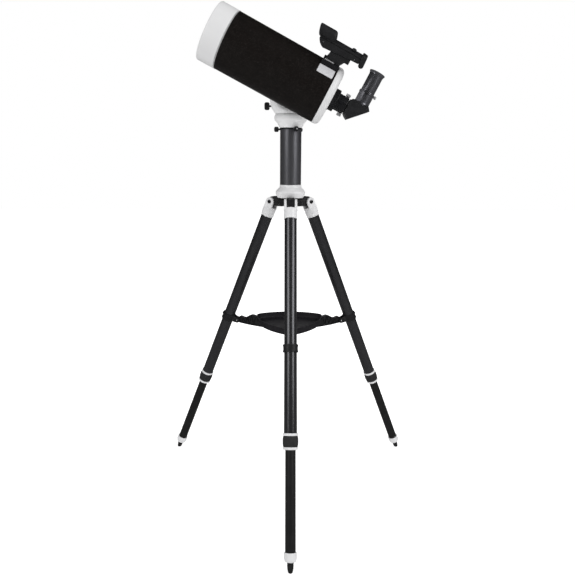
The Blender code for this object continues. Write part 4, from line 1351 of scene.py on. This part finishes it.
def tray_ears(side, bottom):
    """The two ears under the tray and the rivet that hold an arm's inner end."""
    place = ARMS[side]
    low, high = span(f"spreader_arm_{side}", place)
    pin_y, pin_z = high.y - 0.0042, low.z + 0.0042
    root = bottom - place.translation.z + 0.0004
    eye = arc((pin_y, pin_z), 0.0044, 200, 340, 10)
    outline = [(pin_y - 0.0085, root), *eye, (pin_y + 0.0060, root)]
    for sign, name in ((1, "a"), (-1, "b")):
        low_x, high_x = sorted((sign * 0.0056, sign * 0.0080))
        made = slab(f"tray_ear_{name}_{side}", outline, low_x, high_x, place, "YZ", 0.0004)
        dress(made, "tray", "tray")
    rivet = near(0, 0, (-8.8, 0.3), (-8.8, 1.6), (-8.2, 1.8), (8.2, 1.8), (8.8, 1.6), (8.8, 0.3))
    lathe = place @ shift(y=pin_y, z=pin_z) @ TURN_X
    dress(turn(f"tray_rivet_{side}", rivet, lathe, 36), "steel", "tray")


# ---------------------------------------------------------------- stage
FLOOR_NEAR = 0.62                             # how bright the camera sees the floor under the tripod
FLOOR_FADE = (0.3, 1.3)                       # distances over which it grows to plain white
FLOOR_FILL = 0.33                             # its glow to diffuse rays
FLOOR_MIRRORED = (0.20, 0.20, 0.20)           # its colour to glossy rays
WORLD_FILL = 0.41                             # the surroundings' strength to diffuse rays
WORLD_MIRRORED = 0.012                        # and to glossy rays
BOX_DISTANCE, BOX_HEIGHT = 2.1, 1.68          # the two front lights, from the azimuth axis
CAMERA_LENS = 37.79                           # focal length, for a sensor 36 mm wide
CAMERA_PLACE = Vector((-0.0234, -1.6575, 0.9559))    # from the azimuth axis at the floor
CAMERA_PITCH, CAMERA_YAW, CAMERA_TILT = 12.408, 0.588, 0.34


def floor():
    size, steps = 9.0, 24
    marks = [-size + 2 * size * i / steps for i in range(steps + 1)]
    bm = bmesh.new()
    grid = [[bm.verts.new((x, y, 0)) for x in marks] for y in marks]
    for j in range(steps):
        for i in range(steps):
            bm.faces.new((grid[j][i], grid[j][i + 1], grid[j + 1][i + 1], grid[j + 1][i]))
    made = finish_mesh(bm, "studio_floor", shift(z=-0.0004))
    made.data.materials.append(floor_paper())


def floor_paper():
    """White paper that fades to plain white away from the tripod."""
    paper = Shader("studio_paper", (0.86, 0.86, 0.86), 0.9, 0.0, 0.1).mottle(3, 0.01)
    path = paper.node("ShaderNodeLightPath")
    away = paper.node("ShaderNodeVectorMath", operation="LENGTH")
    paper.link(paper.place, away.inputs[0])
    distance = away.outputs["Value"]
    fade = paper.spread(distance, FLOOR_NEAR, 1.0, *FLOOR_FADE, interpolation_type="SMOOTHSTEP")
    shown = paper.node("ShaderNodeMath", operation="MULTIPLY")
    paper.link(fade, shown.inputs[0])
    paper.link(path.outputs["Is Camera Ray"], shown.inputs[1])
    glow = paper.node("ShaderNodeMath", operation="MULTIPLY_ADD")
    paper.link(path.outputs["Is Diffuse Ray"], glow.inputs[0])
    glow.inputs[1].default_value = FLOOR_FILL
    paper.link(shown.outputs["Value"], glow.inputs[2])
    paper.main.inputs["Emission Color"].default_value = (1, 1, 1, 1)
    paper.link(glow.outputs["Value"], paper.main.inputs["Emission Strength"])
    paper.blend(path.outputs["Is Glossy Ray"], paper.colour, FLOOR_MIRRORED)
    return paper.material


def light(name, place, aim, width, height, power, glossy=True):
    data = bpy.data.lights.new(name, "AREA")
    data.shape = "RECTANGLE"
    data.size, data.size_y = width, height
    data.energy = power
    made = bpy.data.objects.new(name, data)
    bpy.context.scene.collection.objects.link(made)
    made.location = place
    made.rotation_euler = (Vector(aim) - Vector(place)).to_track_quat("-Z", "Z").to_euler()
    made.visible_camera = False
    made.visible_glossy = glossy


def surroundings():
    """A world that the camera sees white, and that fills shadows but hardly mirrors."""
    world = bpy.data.worlds.new("studio")
    bpy.context.scene.world = world
    world.use_nodes = True
    tree = world.node_tree
    sky = tree.nodes["Background"]
    path = tree.nodes.new("ShaderNodeLightPath")
    seen = tree.nodes.new("ShaderNodeMapRange")
    seen.inputs["To Min"].default_value = WORLD_FILL
    seen.inputs["To Max"].default_value = WORLD_MIRRORED
    tree.links.new(path.outputs["Is Glossy Ray"], seen.inputs["Value"])
    pick = tree.nodes.new("ShaderNodeMix")
    tree.links.new(path.outputs["Is Camera Ray"], pick.inputs["Factor"])
    tree.links.new(seen.outputs["Result"], pick.inputs[2])
    pick.inputs[3].default_value = 1.0
    tree.links.new(pick.outputs[0], sky.inputs["Strength"])
    sky.inputs["Color"].default_value = (1, 1, 1, 1)


def studio():
    surroundings()
    middle = WORLD @ Vector((0, 0, 0.75))
    for name, bearing, power in (("box_left", -48, 15.5), ("box_right", 54, 19.5)):
        angle = math.radians(bearing)
        x, y = BOX_DISTANCE * math.sin(angle), -BOX_DISTANCE * math.cos(angle)
        light(name, WORLD @ Vector((x, y, BOX_HEIGHT)), middle, 1.1, 1.5, power)
    light("box_back", WORLD @ Vector((0.2, 2.3, 1.1)), middle, 1.6, 1.6, 5)
    light("box_top", WORLD @ Vector((0.3, -0.6, 3.0)), middle, 2.2, 2.2, 15, False)
    bpy.context.scene.view_settings.view_transform = "Standard"


def camera():
    """Level with the head, a little above the tripod, looking slightly down at the front leg."""
    data = bpy.data.cameras.new("camera")
    data.lens = CAMERA_LENS
    data.sensor_width = 36.0
    made = bpy.data.objects.new("camera", data)
    bpy.context.scene.collection.objects.link(made)
    pitch, yaw, tilt = (math.radians(turned) for turned in (CAMERA_PITCH, CAMERA_YAW, CAMERA_TILT))
    made.location = WORLD @ CAMERA_PLACE
    ahead = Vector((math.sin(yaw) * math.cos(pitch), math.cos(yaw) * math.cos(pitch), -math.sin(pitch)))
    right = Vector((math.cos(yaw), -math.sin(yaw), 0))
    up = right.cross(ahead)
    side = right * math.cos(tilt) + up * math.sin(tilt)
    top = up * math.cos(tilt) - right * math.sin(tilt)
    made.rotation_euler = Matrix((side, top, -ahead)).transposed().to_euler()
    bpy.context.scene.camera = made


# ---------------------------------------------------------------- assembly
tube_and_ring()
secondary(corrector())
primary()
rear_cell()
focus_knob()
visual_back()
star_diagonal()
eyepiece()
dovetail()
blank_plate()
finder()
finder_foot()
saddle()
head()
pier()
hub()
for leg_side in SIDES:
    leg(leg_side)
    arm(leg_side)
tray()
floor()
studio()
camera()
